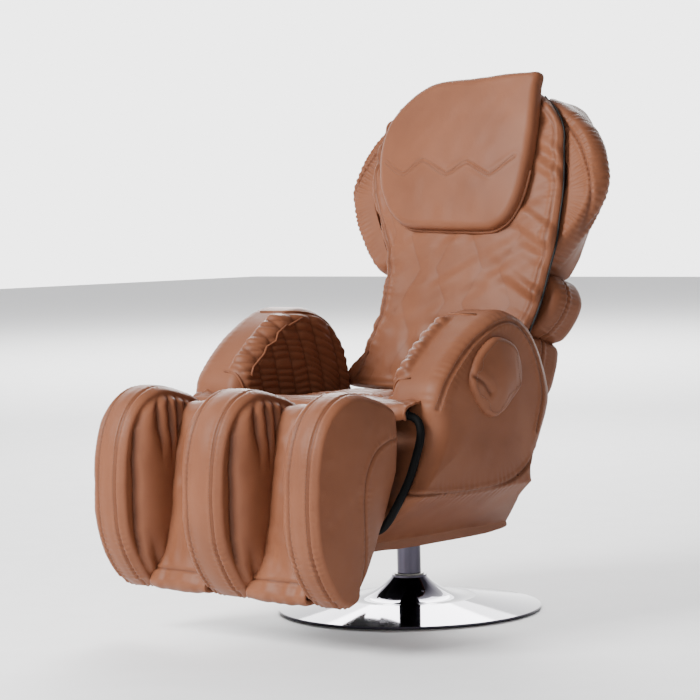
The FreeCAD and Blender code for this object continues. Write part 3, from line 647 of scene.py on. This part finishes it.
def calf_channel(name, low_x, high_x):
    """Padded lining of a calf channel, from the top of the leg rest down to its hem."""
    path = smooth_path([(-0.379, 0.405), (-0.384, 0.448), (-0.425, 0.458), (-0.455, 0.440),
                        (-0.474, 0.402), (-0.488, 0.355), (-0.498, 0.300), (-0.508, 0.235),
                        (-0.518, 0.175), (-0.534, 0.132), (-0.545, 0.110), (-0.536, 0.098),
                        (-0.512, 0.099), (-0.494, 0.112)], 190)
    x = np.linspace(low_x, high_x, 60)
    grid = np.stack([np.repeat(x[None, :], len(path), axis=0),
                     np.repeat(path[:, 0][:, None], 60, axis=1),
                     np.repeat(path[:, 1][:, None], 60, axis=1)], axis=-1)
    down = np.linspace(0, 1, len(path))[:, None]
    across = np.linspace(0, 1, 60)[None, :]
    crown = 0.010 * np.sin(math.pi * across) ** 0.7 * np.sin(math.pi * down) ** 0.5
    hem = np.abs(down - 0.83) * 0.55
    folds = 0.0022 * noise(grid * np.array([3.2, 1.0, 1.0]), 0.06, 12)
    height = crown + folds + groove(hem + across * 0) + 0.0016 * noise(grid, 0.02, 13)
    out = grid_normals(grid, False)
    sign = -1 if out[60, 30, 1] > 0 else 1
    surface = grid + sign * out * height[..., None]
    if sign < 0:
        surface = surface[:, ::-1]
    # Painted shade along the hem seam's groove.
    crease_shade = np.clip(0.6 * np.exp(-(hem / 0.0018) ** 2) + across * 0, 0, 1)
    return sheet_mesh(name, surface, 0.012, crease_shade)


def build_legrest():
    half = CENTRE_HIGH.x
    spans = {"ridge_left": (RIDGE_LOW.x, RIDGE_HIGH.x, True, False, -0.005),
             "ridge_centre": (-half, half, True, True, -0.040),
             "ridge_right": (-RIDGE_HIGH.x, -RIDGE_LOW.x, False, True, -0.005)}
    lines = []
    for name, (low, high, puff_low, puff_high, shift) in spans.items():
        thing = ridge("pad_" + name, low, high, puff_low, puff_high, shift)
        finish_piece(thing, "legrest", name, fill=0.8)
        lines += band_stitches(low, high, surface_of(thing))
    sew("thread_ridges", lines, "legrest")
    for side, name in ((1, "calf_pad_left"), (-1, "calf_pad_right")):
        low, high = sorted((side * (half + 0.0005), side * (RIDGE_LOW.x - 0.0005)))
        finish_piece(calf_channel("lining_" + name, low, high), "legrest", name, fill=0.6)


# ---- arms ------------------------------------------------------------------------------------
ARM_OUTLINE = [(-0.360, 0.178), (-0.374, 0.226), (-0.380, 0.276), (-0.345, 0.322),
               (-0.320, 0.366), (-0.303, 0.410), (-0.299, 0.450), (-0.288, 0.496),
               (-0.256, 0.535), (-0.220, 0.568), (-0.181, 0.597), (-0.141, 0.619),
               (-0.109, 0.631), (-0.076, 0.635), (-0.044, 0.628), (-0.012, 0.612),
               (0.018, 0.584), (0.042, 0.545), (0.058, 0.505), (0.066, 0.465), (0.058, 0.425),
               (0.034, 0.369), (0.012, 0.332), (0.004, 0.290), (0.014, 0.247), (0.030, 0.211),
               (0.040, 0.178)]
ARM_MIDDLE = (-0.150, 0.400)
WAIST_Z = 0.290                                # an arm narrows below this height
ARM_FOOT = 0.214                               # its outer plane at the foot
CREST_SEAM = [(-0.288, 0.452), (-0.272, 0.492), (-0.242, 0.527), (-0.208, 0.558),
              (-0.172, 0.583), (-0.135, 0.601), (-0.104, 0.611), (-0.078, 0.613),
              (-0.052, 0.606), (-0.029, 0.588), (-0.008, 0.562), (0.009, 0.528),
              (0.019, 0.494), (0.023, 0.462), (0.016, 0.430), (0.002, 0.388)]
WAIST_SEAM = [(-0.366, 0.297), (-0.276, 0.290), (-0.189, 0.288), (-0.117, 0.293),
              (-0.069, 0.303), (-0.031, 0.322), (0.006, 0.350)]
POCKET = [(-0.132, 0.585), (-0.095, 0.577), (-0.067, 0.557), (-0.054, 0.524), (-0.056, 0.489),
          (-0.083, 0.461), (-0.112, 0.439), (-0.143, 0.428), (-0.171, 0.438), (-0.197, 0.466),
          (-0.214, 0.502), (-0.198, 0.540), (-0.167, 0.569)]
LINING = [(-0.262, 0.440), (-0.274, 0.490), (-0.279, 0.540), (-0.268, 0.582), (-0.236, 0.606),
          (-0.180, 0.621), (-0.110, 0.627), (-0.050, 0.618), (-0.008, 0.598), (0.024, 0.562),
          (0.044, 0.516), (0.052, 0.470), (0.050, 0.440)]


def arm():
    """The left arm's padded cover."""
    width = ARM_OUT - ARM_IN
    grid, _ = lens(ARM_OUTLINE, ARM_MIDDLE, width, (0.040, 0.042), (0.030, 0.030), 0.0032)
    y, z, h = grid[..., 0], grid[..., 1], grid[..., 2]
    limit = ARM_IN + width * np.clip((z - 0.186) / (WAIST_Z - 0.186), 0, 1)
    limit = np.maximum(np.minimum(limit, ARM_OUT), ARM_FOOT)
    solid = np.stack([ARM_IN + h * (limit - ARM_IN) / width, y, z], axis=-1)
    flat = np.stack([y, z], axis=-1)
    outer = fade(h, 0.08, 0.10)
    height = 0.0018 * noise(solid, 0.11, 21) + 0.0007 * noise(solid, 0.035, 22)
    # Painted shade: darker in the seam grooves and in the valleys between the lining's pleats.
    crease_shade = np.zeros(h.shape)
    for path, depth in ((CREST_SEAM, 0.0026), (WAIST_SEAM, 0.0034)):
        reach, run = path_reach(flat, smooth_path(path, 70))
        height += outer * (groove(reach, 0.0022, depth, 0.0012) + puckers(reach, run, 0.016, 0.02, 0.0005))
        crease_shade += 0.5 * outer * np.exp(-(reach / 0.0018) ** 2)
    rim = smooth_path(LINING, 140)
    reach, _ = path_reach(flat, rim)
    ruched = inside(flat, smooth_path(LINING, 140, closed=True)) * fade(reach, 0, 0.012)
    ruched = ruched * fade(-h, -0.045, -0.030)
    slope = y + 0.30 * (z - 0.53) + 0.9 * (z - 0.53) ** 2
    fall = z + 0.9 * np.maximum(y + 0.09, 0) ** 1.3
    pleats = ruche(slope, fall, 0.046, 0.0150, 0.0085, 31)
    height += ruched * (0.006 + pleats)
    crease_shade += ruched * np.clip(0.0030 - pleats, 0, 1) * 150
    border = smooth_path(CREST_SEAM + WAIST_SEAM[::-1], 120, closed=True)
    panel = inside(flat, border)
    reach, _ = path_reach(flat, border)
    height += outer * panel * 0.005 * fade(reach, 0, 0.09)
    return lens_mesh("cover_arm_left", raised(solid, height), np.clip(crease_shade, 0, 1))


def pocket():
    """Padded pocket on the outside of the left arm."""
    grid, rows = lens(POCKET, (-0.134, 0.506), 0.020, (0.012, 0.013), (0.002, 0.002), 0.0024)
    y, z, h = grid[..., 0], grid[..., 1], grid[..., 2]
    share = rows[:, 0][:, None]
    solid = np.stack([ARM_OUT - 0.004 + h, y, z], axis=-1)
    face = fade(h, 0.012, 0.018)
    crown = 0.008 * (1 - share ** 2) * face
    fold, _ = path_reach(np.stack([y, z], axis=-1),
                         smooth_path([(-0.212, 0.515), (-0.185, 0.500), (-0.165, 0.478)], 20))
    height = crown + face * (groove(fold, 0.0045, 0.0035, 0.001) + 0.0018 * noise(solid, 0.03, 41))
    # Painted shade in the pocket's fold.
    crease_shade = 0.5 * face * np.exp(-(fold / 0.003) ** 2)
    return lens_mesh("pocket_arm_left", raised(solid, height), crease_shade)


def build_arms():
    left = arm()
    tree = surface_of(left)
    lines = []
    for path in (CREST_SEAM, WAIST_SEAM):
        for gap in (-0.0045, 0.0045):
            flat = beside(smooth_path(path, 120), gap)
            starts = [(ARM_OUT + 0.1, y, z) for y, z in flat]
            lines.append(cast_on(starts, (-1, 0, 0), tree, 0))
    thread = stitches("thread_arm_left", lines)
    right = mirror_copy(left, "cover_arm_right")
    twin = mirror_copy(thread, "thread_arm_right")
    finish_piece(left, "seat", "arm_left", "arm_pads", fill=0.8)
    finish_piece(right, "seat", "arm_right", fill=0.8)
    finish_piece(thread, "seat", material=TAN_THREAD)
    finish_piece(twin, "seat", material=TAN_THREAD)
    rim = smooth_path(LINING, 150)
    starts = [(0.0, y, z) for y, z in rim]
    welt = tube("welt_arm_left", cast_on(starts, (1, 0, 0), tree, 0.001)[0], 0.0026)
    twin = mirror_curve(welt, "welt_arm_right")
    finish_piece(welt, "seat")
    finish_piece(twin, "seat")
    pouch = pocket()
    edge = beside(smooth_path(POCKET, 120, closed=True), 0.006)
    starts = [(ARM_OUT + 0.1, y, z) for y, z in edge]
    finish_piece(pouch, "seat", "side_pocket", fill=0.5)
    sew("thread_pocket", [cast_on(starts, (-1, 0, 0), surface_of(pouch), 0)], "seat")


def mirror_curve(thing, name):
    twin = bpy.data.objects.new(name, thing.data.copy())
    for point in twin.data.splines[0].points:
        point.co.x = -point.co.x
    bpy.context.scene.collection.objects.link(twin)
    return twin


# ---- seat --------------------------------------------------------------------------------------
def build_seat():
    half = SEAT_HIGH.x
    corner = 0.03
    outline = [(-half, -0.294 + corner), (-half + corner, -0.297), (0, -0.300), (half - corner, -0.297),
               (half, -0.294 + corner), (half, -0.1), (half, 0.03), (half - corner, 0.058), (0, 0.062),
               (-half + corner, 0.058), (-half, 0.03), (-half, -0.1)]
    grid, rows = lens(outline, (0, -0.12), 0.064, (0.022, 0.022), (0.01, 0.01), 0.0032)
    x, y, h = grid[..., 0], grid[..., 1], grid[..., 2]
    solid = np.stack([x, y, SEAT_LOW.z + h], axis=-1)
    face = fade(h, 0.045, 0.063)
    rear = fade(y, -0.19, -0.16)
    reach, run = path_reach(np.stack([x, y], axis=-1), np.array([(-0.19, -0.178), (0.19, -0.178)]))
    crown = 0.012 * (1 - rows[:, 0][:, None] ** 2) * face
    pleats = ruche(x + 0.2 * y, y - 0.3 * x, 0.055, 0.018, 0.006, 51)
    height = crown + face * (rear * pleats + groove(reach, 0.0025, 0.004, 0.001)
                             + puckers(reach, run, 0.014, 0.02, 0.0012)) + 0.0015 * noise(solid, 0.05, 52)
    # Painted shade: darker in the valleys of the rear pleats and in the cross seam.
    crease_shade = face * (rear * np.clip(0.0018 - pleats, 0, 1) * 230 + 0.5 * np.exp(-(reach / 0.002) ** 2))
    thing = lens_mesh("cushion_seat", raised(solid, height), np.clip(crease_shade, 0, 0.8))
    finish_piece(thing, "seat", "seat_cushion", fill=0.8)


def build_flap():
    """Leather flap over the seat's front edge, crumpled at both ends."""
    profile = smooth_path([(-0.250, 0.462), (-0.275, 0.4665), (-0.303, 0.4685), (-0.325, 0.467),
                           (-0.340, 0.461), (-0.3465, 0.449), (-0.345, 0.434)], 46)
    x = np.linspace(-0.292, 0.296, 210)
    y = np.repeat(profile[:, 0][:, None], len(x), axis=1)
    z = np.repeat(profile[:, 1][:, None], len(x), axis=1)
    grid = np.stack([np.repeat(x[None, :], len(profile), axis=0), y, z], axis=-1)
    down = np.linspace(0, 1, len(profile))[:, None]
    wave = 0.0030 * noise(grid, 0.07, 61) + 0.0012 * noise(grid, 0.022, 62)
    end = fade(np.abs(grid[..., 0]), 0.235, 0.292)
    crumple = end * (0.007 * noise(grid, 0.024, 63) + 0.002 * noise(grid, 0.009, 64))
    grid[..., 2] += (wave + crumple) * fade(down, 0.02, 0.4)
    grid[..., 1] += 0.6 * crumple * fade(down, 0.3, 0.9) + 0.006 * end * noise(grid, 0.03, 65)
    thing = sheet_mesh("flap_seat", grid, 0.004)
    finish_piece(thing, "seat", "seat_flap")
    tree = surface_of(thing)
    lines = []
    for spot in (-0.331, -0.322):
        starts = [(px, spot, 0.60) for px in np.linspace(-0.280, 0.282, 170)]
        lines.append(cast_on(starts, (0, 0, -1), tree, 0))
    sew("thread_flap", lines, "seat")


# ---- backrest -------------------------------------------------------------------------------------
COVER_FRONT, COVER_BACK = 0.076, 0.050            # how far forward of the recline axis
COVER_LEFT = [(-0.206, 0.040), (-0.200, 0.080), (-0.192, 0.119), (-0.176, 0.170), (-0.166, 0.221),
              (-0.164, 0.277), (-0.174, 0.329), (-0.198, 0.377), (-0.228, 0.430), (-0.254, 0.497),
              (-0.262, 0.560), (-0.244, 0.630), (-0.196, 0.684), (-0.110, 0.712)]
COVER_RIGHT = [(0.100, 0.712), (0.175, 0.682), (0.215, 0.647), (0.240, 0.608), (0.249, 0.566),
               (0.259, 0.516), (0.266, 0.466), (0.268, 0.408), (0.270, 0.359), (0.264, 0.306),
               (0.259, 0.257), (0.252, 0.217), (0.238, 0.170), (0.215, 0.110), (0.206, 0.045)]
PILLOW_OUTLINE = [(-0.075, 0.713), (-0.125, 0.697), (-0.168, 0.668), (-0.204, 0.630), (-0.220, 0.590),
                  (-0.222, 0.548), (-0.210, 0.495), (-0.186, 0.451), (-0.155, 0.415), (-0.117, 0.391),
                  (-0.078, 0.384), (0.019, 0.380), (0.109, 0.378), (0.143, 0.387), (0.169, 0.410),
                  (0.186, 0.451), (0.194, 0.509), (0.194, 0.584), (0.190, 0.640), (0.184, 0.690),
                  (0.182, 0.722), (0.150, 0.724), (0.050, 0.718)]
EMBOSS = [(-0.196, 0.534), (-0.131, 0.503), (-0.077, 0.530), (-0.006, 0.498), (0.047, 0.522),
          (0.110, 0.495), (0.166, 0.535)]
WING = [(0.186, 0.318), (0.214, 0.300), (0.250, 0.332), (0.282, 0.370), (0.312, 0.410),
        (0.336, 0.455), (0.346, 0.505), (0.327, 0.565), (0.287, 0.620), (0.226, 0.664),
        (0.172, 0.690), (0.178, 0.668), (0.216, 0.626), (0.242, 0.575), (0.248, 0.500),
        (0.240, 0.420), (0.209, 0.358)]
WING_SEAM = [(0.222, 0.634), (0.270, 0.590), (0.302, 0.544), (0.324, 0.496), (0.328, 0.461),
             (0.320, 0.430), (0.304, 0.398), (0.282, 0.364), (0.257, 0.334), (0.233, 0.310)]
WAIST_PAD = [(0.191, 0.180), (0.232, 0.174), (0.264, 0.205), (0.278, 0.240), (0.277, 0.266),
             (0.262, 0.291), (0.236, 0.304), (0.191, 0.292)]
LUMBAR_PAD = [(0.195, 0.040), (0.226, 0.060), (0.238, 0.092), (0.239, 0.122), (0.236, 0.150),
              (0.228, 0.166), (0.194, 0.172)]
SHELL_SIDE = [(0.184, -0.015), (0.192, 0.060), (0.184, 0.180), (0.178, 0.300), (0.190, 0.360),
              (0.224, 0.420), (0.244, 0.500), (0.236, 0.570), (0.198, 0.620), (0.148, 0.660),
              (0.095, 0.686)]


def zigzag(x, w, first, spacing, swing, period):
    """Distance to the nearest of a stack of zigzag lines."""
    wave = swing * (2 * np.abs(2 * (x / period - np.floor(x / period + 0.5))) - 1)
    offset = (w - wave - first) / spacing
    return np.abs(offset - np.round(offset)) * spacing * 0.85


def cover():
    outline = COVER_LEFT + COVER_RIGHT
    grid, _ = lens(outline, (0.0, 0.38), COVER_FRONT - COVER_BACK, (0.014, 0.014), (0.008, 0.008), 0.0036)
    x, w, h = grid[..., 0], grid[..., 1], grid[..., 2]
    solid = np.stack([x, w, COVER_BACK + h], axis=-1)
    face = fade(h, 0.012, 0.025)
    quilt = np.minimum(zigzag(w, x, 0.0, 0.170, 0.020, 0.150),
                       zigzag(w + 0.075, x, 0.085, 0.170, 0.020, 0.150))
    puff = 0.0016 * np.sqrt(np.clip(quilt / 0.04, 0, 1))
    edge, run = path_reach(np.stack([x, w], axis=-1), smooth_path(outline, 200, closed=True))
    wrinkles = 0.0032 * noise(np.stack([x + w * 0.8, w * 2.6 - x * 1.4, x * 0], axis=-1), 0.075, 71)
    side = fade(np.abs(x), 0.08, 0.24)
    drag = 0.0065 * side * noise(np.stack([x * 0.6, w * 3.0 + x * 1.5, x * 0], axis=-1), 0.07, 72)
    low = fade(0.22 - w, 0, 0.15)
    sag = 0.007 * low * noise(np.stack([x * 2.2 + w, w * 1.2 - x, x * 0], axis=-1), 0.08, 73)
    hem = np.abs(edge - 0.014)
    crown = 0.012 * np.clip(1 - (x / 0.27) ** 2, 0, 1) * np.clip(1 - ((w - 0.38) / 0.36) ** 2, 0, 1)
    height = face * (crown + puff + wrinkles + drag + sag + groove(hem, 0.0022, 0.0022, 0.001)
                     + puckers(hem, run, 0.017, 0.02, 0.0009) - 0.002)
    # Painted shade in the quilting lines and along the hem seam.
    crease_shade = face * (0.14 * np.exp(-(quilt / 0.0016) ** 2) * fade(edge, 0.01, 0.03)
                     + 0.4 * np.exp(-(hem / 0.0018) ** 2))
    return lens_mesh("cover_back", leaned(raised(solid, height)), np.clip(crease_shade, 0, 1))


def pillow():
    grid, _ = lens(PILLOW_OUTLINE, (0.0, 0.55), 0.032, (0.018, 0.016), (0.014, 0.010), 0.0030)
    x, w, h = grid[..., 0], grid[..., 1], grid[..., 2]
    solid = np.stack([x, w, COVER_FRONT + 0.001 + h], axis=-1)
    face = fade(h, 0.016, 0.030)
    reach, _ = path_reach(np.stack([x, w], axis=-1), np.array(EMBOSS))
    crown = 0.016 * np.clip(1 - (x / 0.22) ** 2, 0, 1) * np.clip(1 - ((w - 0.55) / 0.20) ** 2, 0, 1)
    height = face * (crown + groove(reach, 0.0025, 0.0011, 0.0006)
                     + 0.0022 * noise(solid, 0.09, 81) + 0.0008 * noise(solid, 0.03, 82))
    # Painted shade along the embossed seam.
    crease_shade = face * 0.12 * np.exp(-(reach / 0.0018) ** 2)
    return lens_mesh("cushion_pillow", leaned(raised(solid, height)), crease_shade)


def side_pad(name, outline, middle, back, front, edges, seam, seed, gather, pinch=(0.2, 0)):
    """A padded side piece of the backrest, at x > 0."""
    grid, _ = lens(outline, middle, front - back, *edges, 0.0028)
    x, w, h = grid[..., 0], grid[..., 1], grid[..., 2]
    x = pinch[0] + (x - pinch[0]) * (1 - pinch[1] * fade(0.02 - (back + h), 0, 0.084))
    solid = np.stack([x, w, back + h], axis=-1)
    height = 0.0016 * noise(solid, 0.06, seed) + 0.0007 * noise(solid, 0.02, seed + 1)
    # Painted shade along the seam's groove.
    crease_shade = np.zeros(h.shape)
    if seam:
        reach, run = path_reach(np.stack([x, w], axis=-1), smooth_path(seam, 70))
        near = fade(h, (front - back) * 0.45, (front - back) * 0.6)
        height += near * (groove(reach, 0.0024, 0.0030, 0.0014) + puckers(reach, run, 0.013, 0.030, gather))
        crease_shade += near * 0.5 * np.exp(-(reach / 0.0018) ** 2)
    else:
        run = np.arange(grid.shape[1])[None, :] * 0.0028 + h * 0
        reach = np.abs(h - (front - back) * 0.62)
        height += groove(reach, 0.0022, 0.0030, 0.0016) + puckers(reach, run, 0.011, 0.022, gather)
        crease_shade += 0.5 * np.exp(-(reach / 0.0018) ** 2)
    return lens_mesh(name, leaned(raised(solid, height)), np.clip(crease_shade, 0, 1))


def pair(thing, name, body, node_left, node_right):
    """Finish a left piece and its mirrored twin."""
    twin = mirror_copy(thing, name)
    finish_piece(thing, body, node_left, fill=0.8)
    finish_piece(twin, body, node_right, fill=0.8)


def shell():
    outline = SHELL_SIDE + [(-x, w) for x, w in reversed(SHELL_SIDE)]
    grid, _ = lens(outline, (0, 0.32), 0.124, (0.004, 0.004), (0.045, 0.034), 0.0050)
    x, w, h = grid[..., 0], grid[..., 1], grid[..., 2]
    solid = np.stack([x, w, h - 0.078], axis=-1)
    edge = np.abs(h - 0.040)
    height = 0.0012 * noise(solid, 0.10, 91) + groove(edge, 0.0024, 0.003, 0.001)
    # Painted shade along the edge seam's groove.
    crease_shade = 0.5 * np.exp(-(edge / 0.002) ** 2)
    return lens_mesh("cover_shell", leaned(raised(solid, height)), crease_shade)


def build_backrest():
    finish_piece(shell(), "backrest", "back_shell")
    wing = side_pad("cover_wing_left", WING, (0.282, 0.490), -0.064, 0.0495,
                    ((0.024, 0.032), (0.030, 0.050)), WING_SEAM, 101, 0.0020, (0.225, 0.55))
    pair(wing, "cover_wing_right", "backrest", "wing_left", "wing_right")
    waist = side_pad("pad_waist_left", WAIST_PAD, (0.228, 0.238), -0.062, 0.040,
                     ((0.018, 0.026), (0.018, 0.026)), None, 111, 0.0016)
    finish_piece(waist, "backrest", "back_side_pads", fill=0.7)
    lumbar = side_pad("pad_lumbar_left", LUMBAR_PAD, (0.214, 0.108), -0.060, 0.042,
                      ((0.014, 0.022), (0.014, 0.022)), None, 121, 0.0008)
    finish_piece(lumbar, "backrest", fill=0.8)
    back = cover()
    finish_piece(back, "backrest", "back_cover", fill=0.4)
    rest = pillow()
    finish_piece(rest, "pillow", "head_pillow", fill=0.7)
    tree = surface_of(rest)
    rim = smooth_path(PILLOW_OUTLINE[:17], 160)
    points = leaned(np.stack([rim[:, 0], rim[:, 1], rim[:, 0] * 0 + COVER_FRONT + 0.013], axis=-1))
    welt = tube("welt_pillow", laid_on(points, tree, 0.001), 0.0032)
    finish_piece(welt, "pillow")
    forward = leaned(np.array([[0, 0, 1.0], [0, 0, 0]]))
    way = forward[1] - forward[0]
    lines = []
    for gap in (-0.004, 0.004):
        flat = beside(smooth_path(EMBOSS, 140), gap)
        starts = leaned(np.stack([flat[:, 0], flat[:, 1], flat[:, 0] * 0 + 0.3], axis=-1))
        lines.append(cast_on(starts, way, tree, 0))
    sew("thread_pillow", lines, "pillow")
    tree = surface_of(back)
    hem = smooth_path([(x + 0.010, w) for x, w in COVER_LEFT[:12]], 160)
    starts = leaned(np.stack([hem[:, 0], hem[:, 1], hem[:, 0] * 0 + 0.3], axis=-1))
    sew("thread_cover", [cast_on(starts, way, tree, 0)], "backrest")
    side = smooth_path([(x + 0.0015, w) for x, w in COVER_RIGHT[1:14]], 140)
    points = leaned(np.stack([side[:, 0], side[:, 1], side[:, 0] * 0 + COVER_BACK + 0.010], axis=-1))
    strip = tube("zip_cover", points, 0.0022)
    finish_piece(strip, "backrest", material=FINISHES["black_plastic"], slot="black_plastic")


# ---- hose -----------------------------------------------------------------------------------------
HOSE_R = 0.008
HOSE_ROUTE = [(0.287, -0.324, 0.443), (0.300, -0.317, 0.439), (0.311, -0.316, 0.424), (0.317, -0.322, 0.400),
              (0.317, -0.337, 0.366), (0.316, -0.357, 0.322), (0.313, -0.388, 0.280), (0.306, -0.402, 0.254),
              (0.293, -0.407, 0.236), (0.277, -0.408, 0.227), (0.262, -0.407, 0.224), (0.250, -0.401, 0.223),
              (0.246, -0.390, 0.223)]


def build_hose():
    """Sleeved air hose, from under the flap's end down to the lower front of the seat."""
    data = bpy.data.curves.new("hose_air", "CURVE")
    data.dimensions = "3D"
    data.bevel_depth = HOSE_R
    data.bevel_resolution = 4
    data.resolution_u = 8
    data.use_fill_caps = True
    spline = data.splines.new("NURBS")
    spline.points.add(len(HOSE_ROUTE) - 1)
    for point, place in zip(spline.points, HOSE_ROUTE):
        point.co = (*place, 1)
    spline.order_u = 3
    spline.use_endpoint_u = True
    thing = bpy.data.objects.new("hose_air", data)
    bpy.context.scene.collection.objects.link(thing)
    finish_piece(thing, "seat", "air_hose", material=FINISHES["hose_sleeve"], slot="hose_sleeve")


# ---- room -----------------------------------------------------------------------------------------
def area_light(name, place, aim, size, power, colour=(1, 1, 1)):
    data = bpy.data.lights.new(name, "AREA")
    data.size = size
    data.energy = power
    data.color = colour
    lamp = bpy.data.objects.new(name, data)
    lamp.location = place
    lamp.rotation_euler = (Vector(aim) - Vector(place)).to_track_quat("-Z", "Y").to_euler()
    bpy.context.scene.collection.objects.link(lamp)


WALL_LIGHT = 4.0                                    # the room's pale wall, behind the chair
WALL_SIDE = (-0.67, 0.74, 0.0)                      # the way from the chair to that wall


def build_room():
    area_light("key", (-1.2, -3.9, 3.0), (0, 0, 0.5), 2.0, 460)
    area_light("fill", (2.6, -4.2, 1.5), (0, 0, 0.5), 2.2, 60)
    area_light("rim", (-2.5, 3.0, 2.6), (0, 0.2, 0.8), 1.6, 130)
    area_light("wash", (-6.0, 6.5, 4.0), (-6.0, 6.5, 0), 6.0, 900)
    world = bpy.data.worlds.new("room")
    world.use_nodes = True
    nodes, links = world.node_tree.nodes, world.node_tree.links
    place = nodes.new("ShaderNodeTexCoord")
    toward = nodes.new("ShaderNodeVectorMath")
    toward.operation = "DOT_PRODUCT"
    toward.inputs[1].default_value = WALL_SIDE
    links.new(place.outputs["Generated"], toward.inputs[0])
    ramp = nodes.new("ShaderNodeValToRGB")
    ramp.color_ramp.elements[0].position = 0.72
    ramp.color_ramp.elements[0].color = (0.07, 0.07, 0.075, 1)
    ramp.color_ramp.elements[1].position = 0.95
    ramp.color_ramp.elements[1].color = (1, 1, 1, 1)
    along = nodes.new("ShaderNodeMapRange")
    along.inputs["From Min"].default_value = -1
    links.new(toward.outputs["Value"], along.inputs["Value"])
    links.new(along.outputs["Result"], ramp.inputs["Fac"])
    links.new(ramp.outputs["Color"], nodes["Background"].inputs["Color"])
    nodes["Background"].inputs["Strength"].default_value = WALL_LIGHT
    bpy.context.scene.world = world
    bpy.ops.mesh.primitive_plane_add(size=40, location=(0, 0, -0.0005))
    floor = bpy.context.object
    floor.name = "floor"
    floor.data.materials.append(plain("floor_paper", (0.90, 0.90, 0.90), (0.93, 0.93, 0.93), 0.7, 40, 0.02))


dress_cad()
build_legrest()
build_arms()
build_seat()
build_flap()
build_backrest()
build_hose()
build_room()
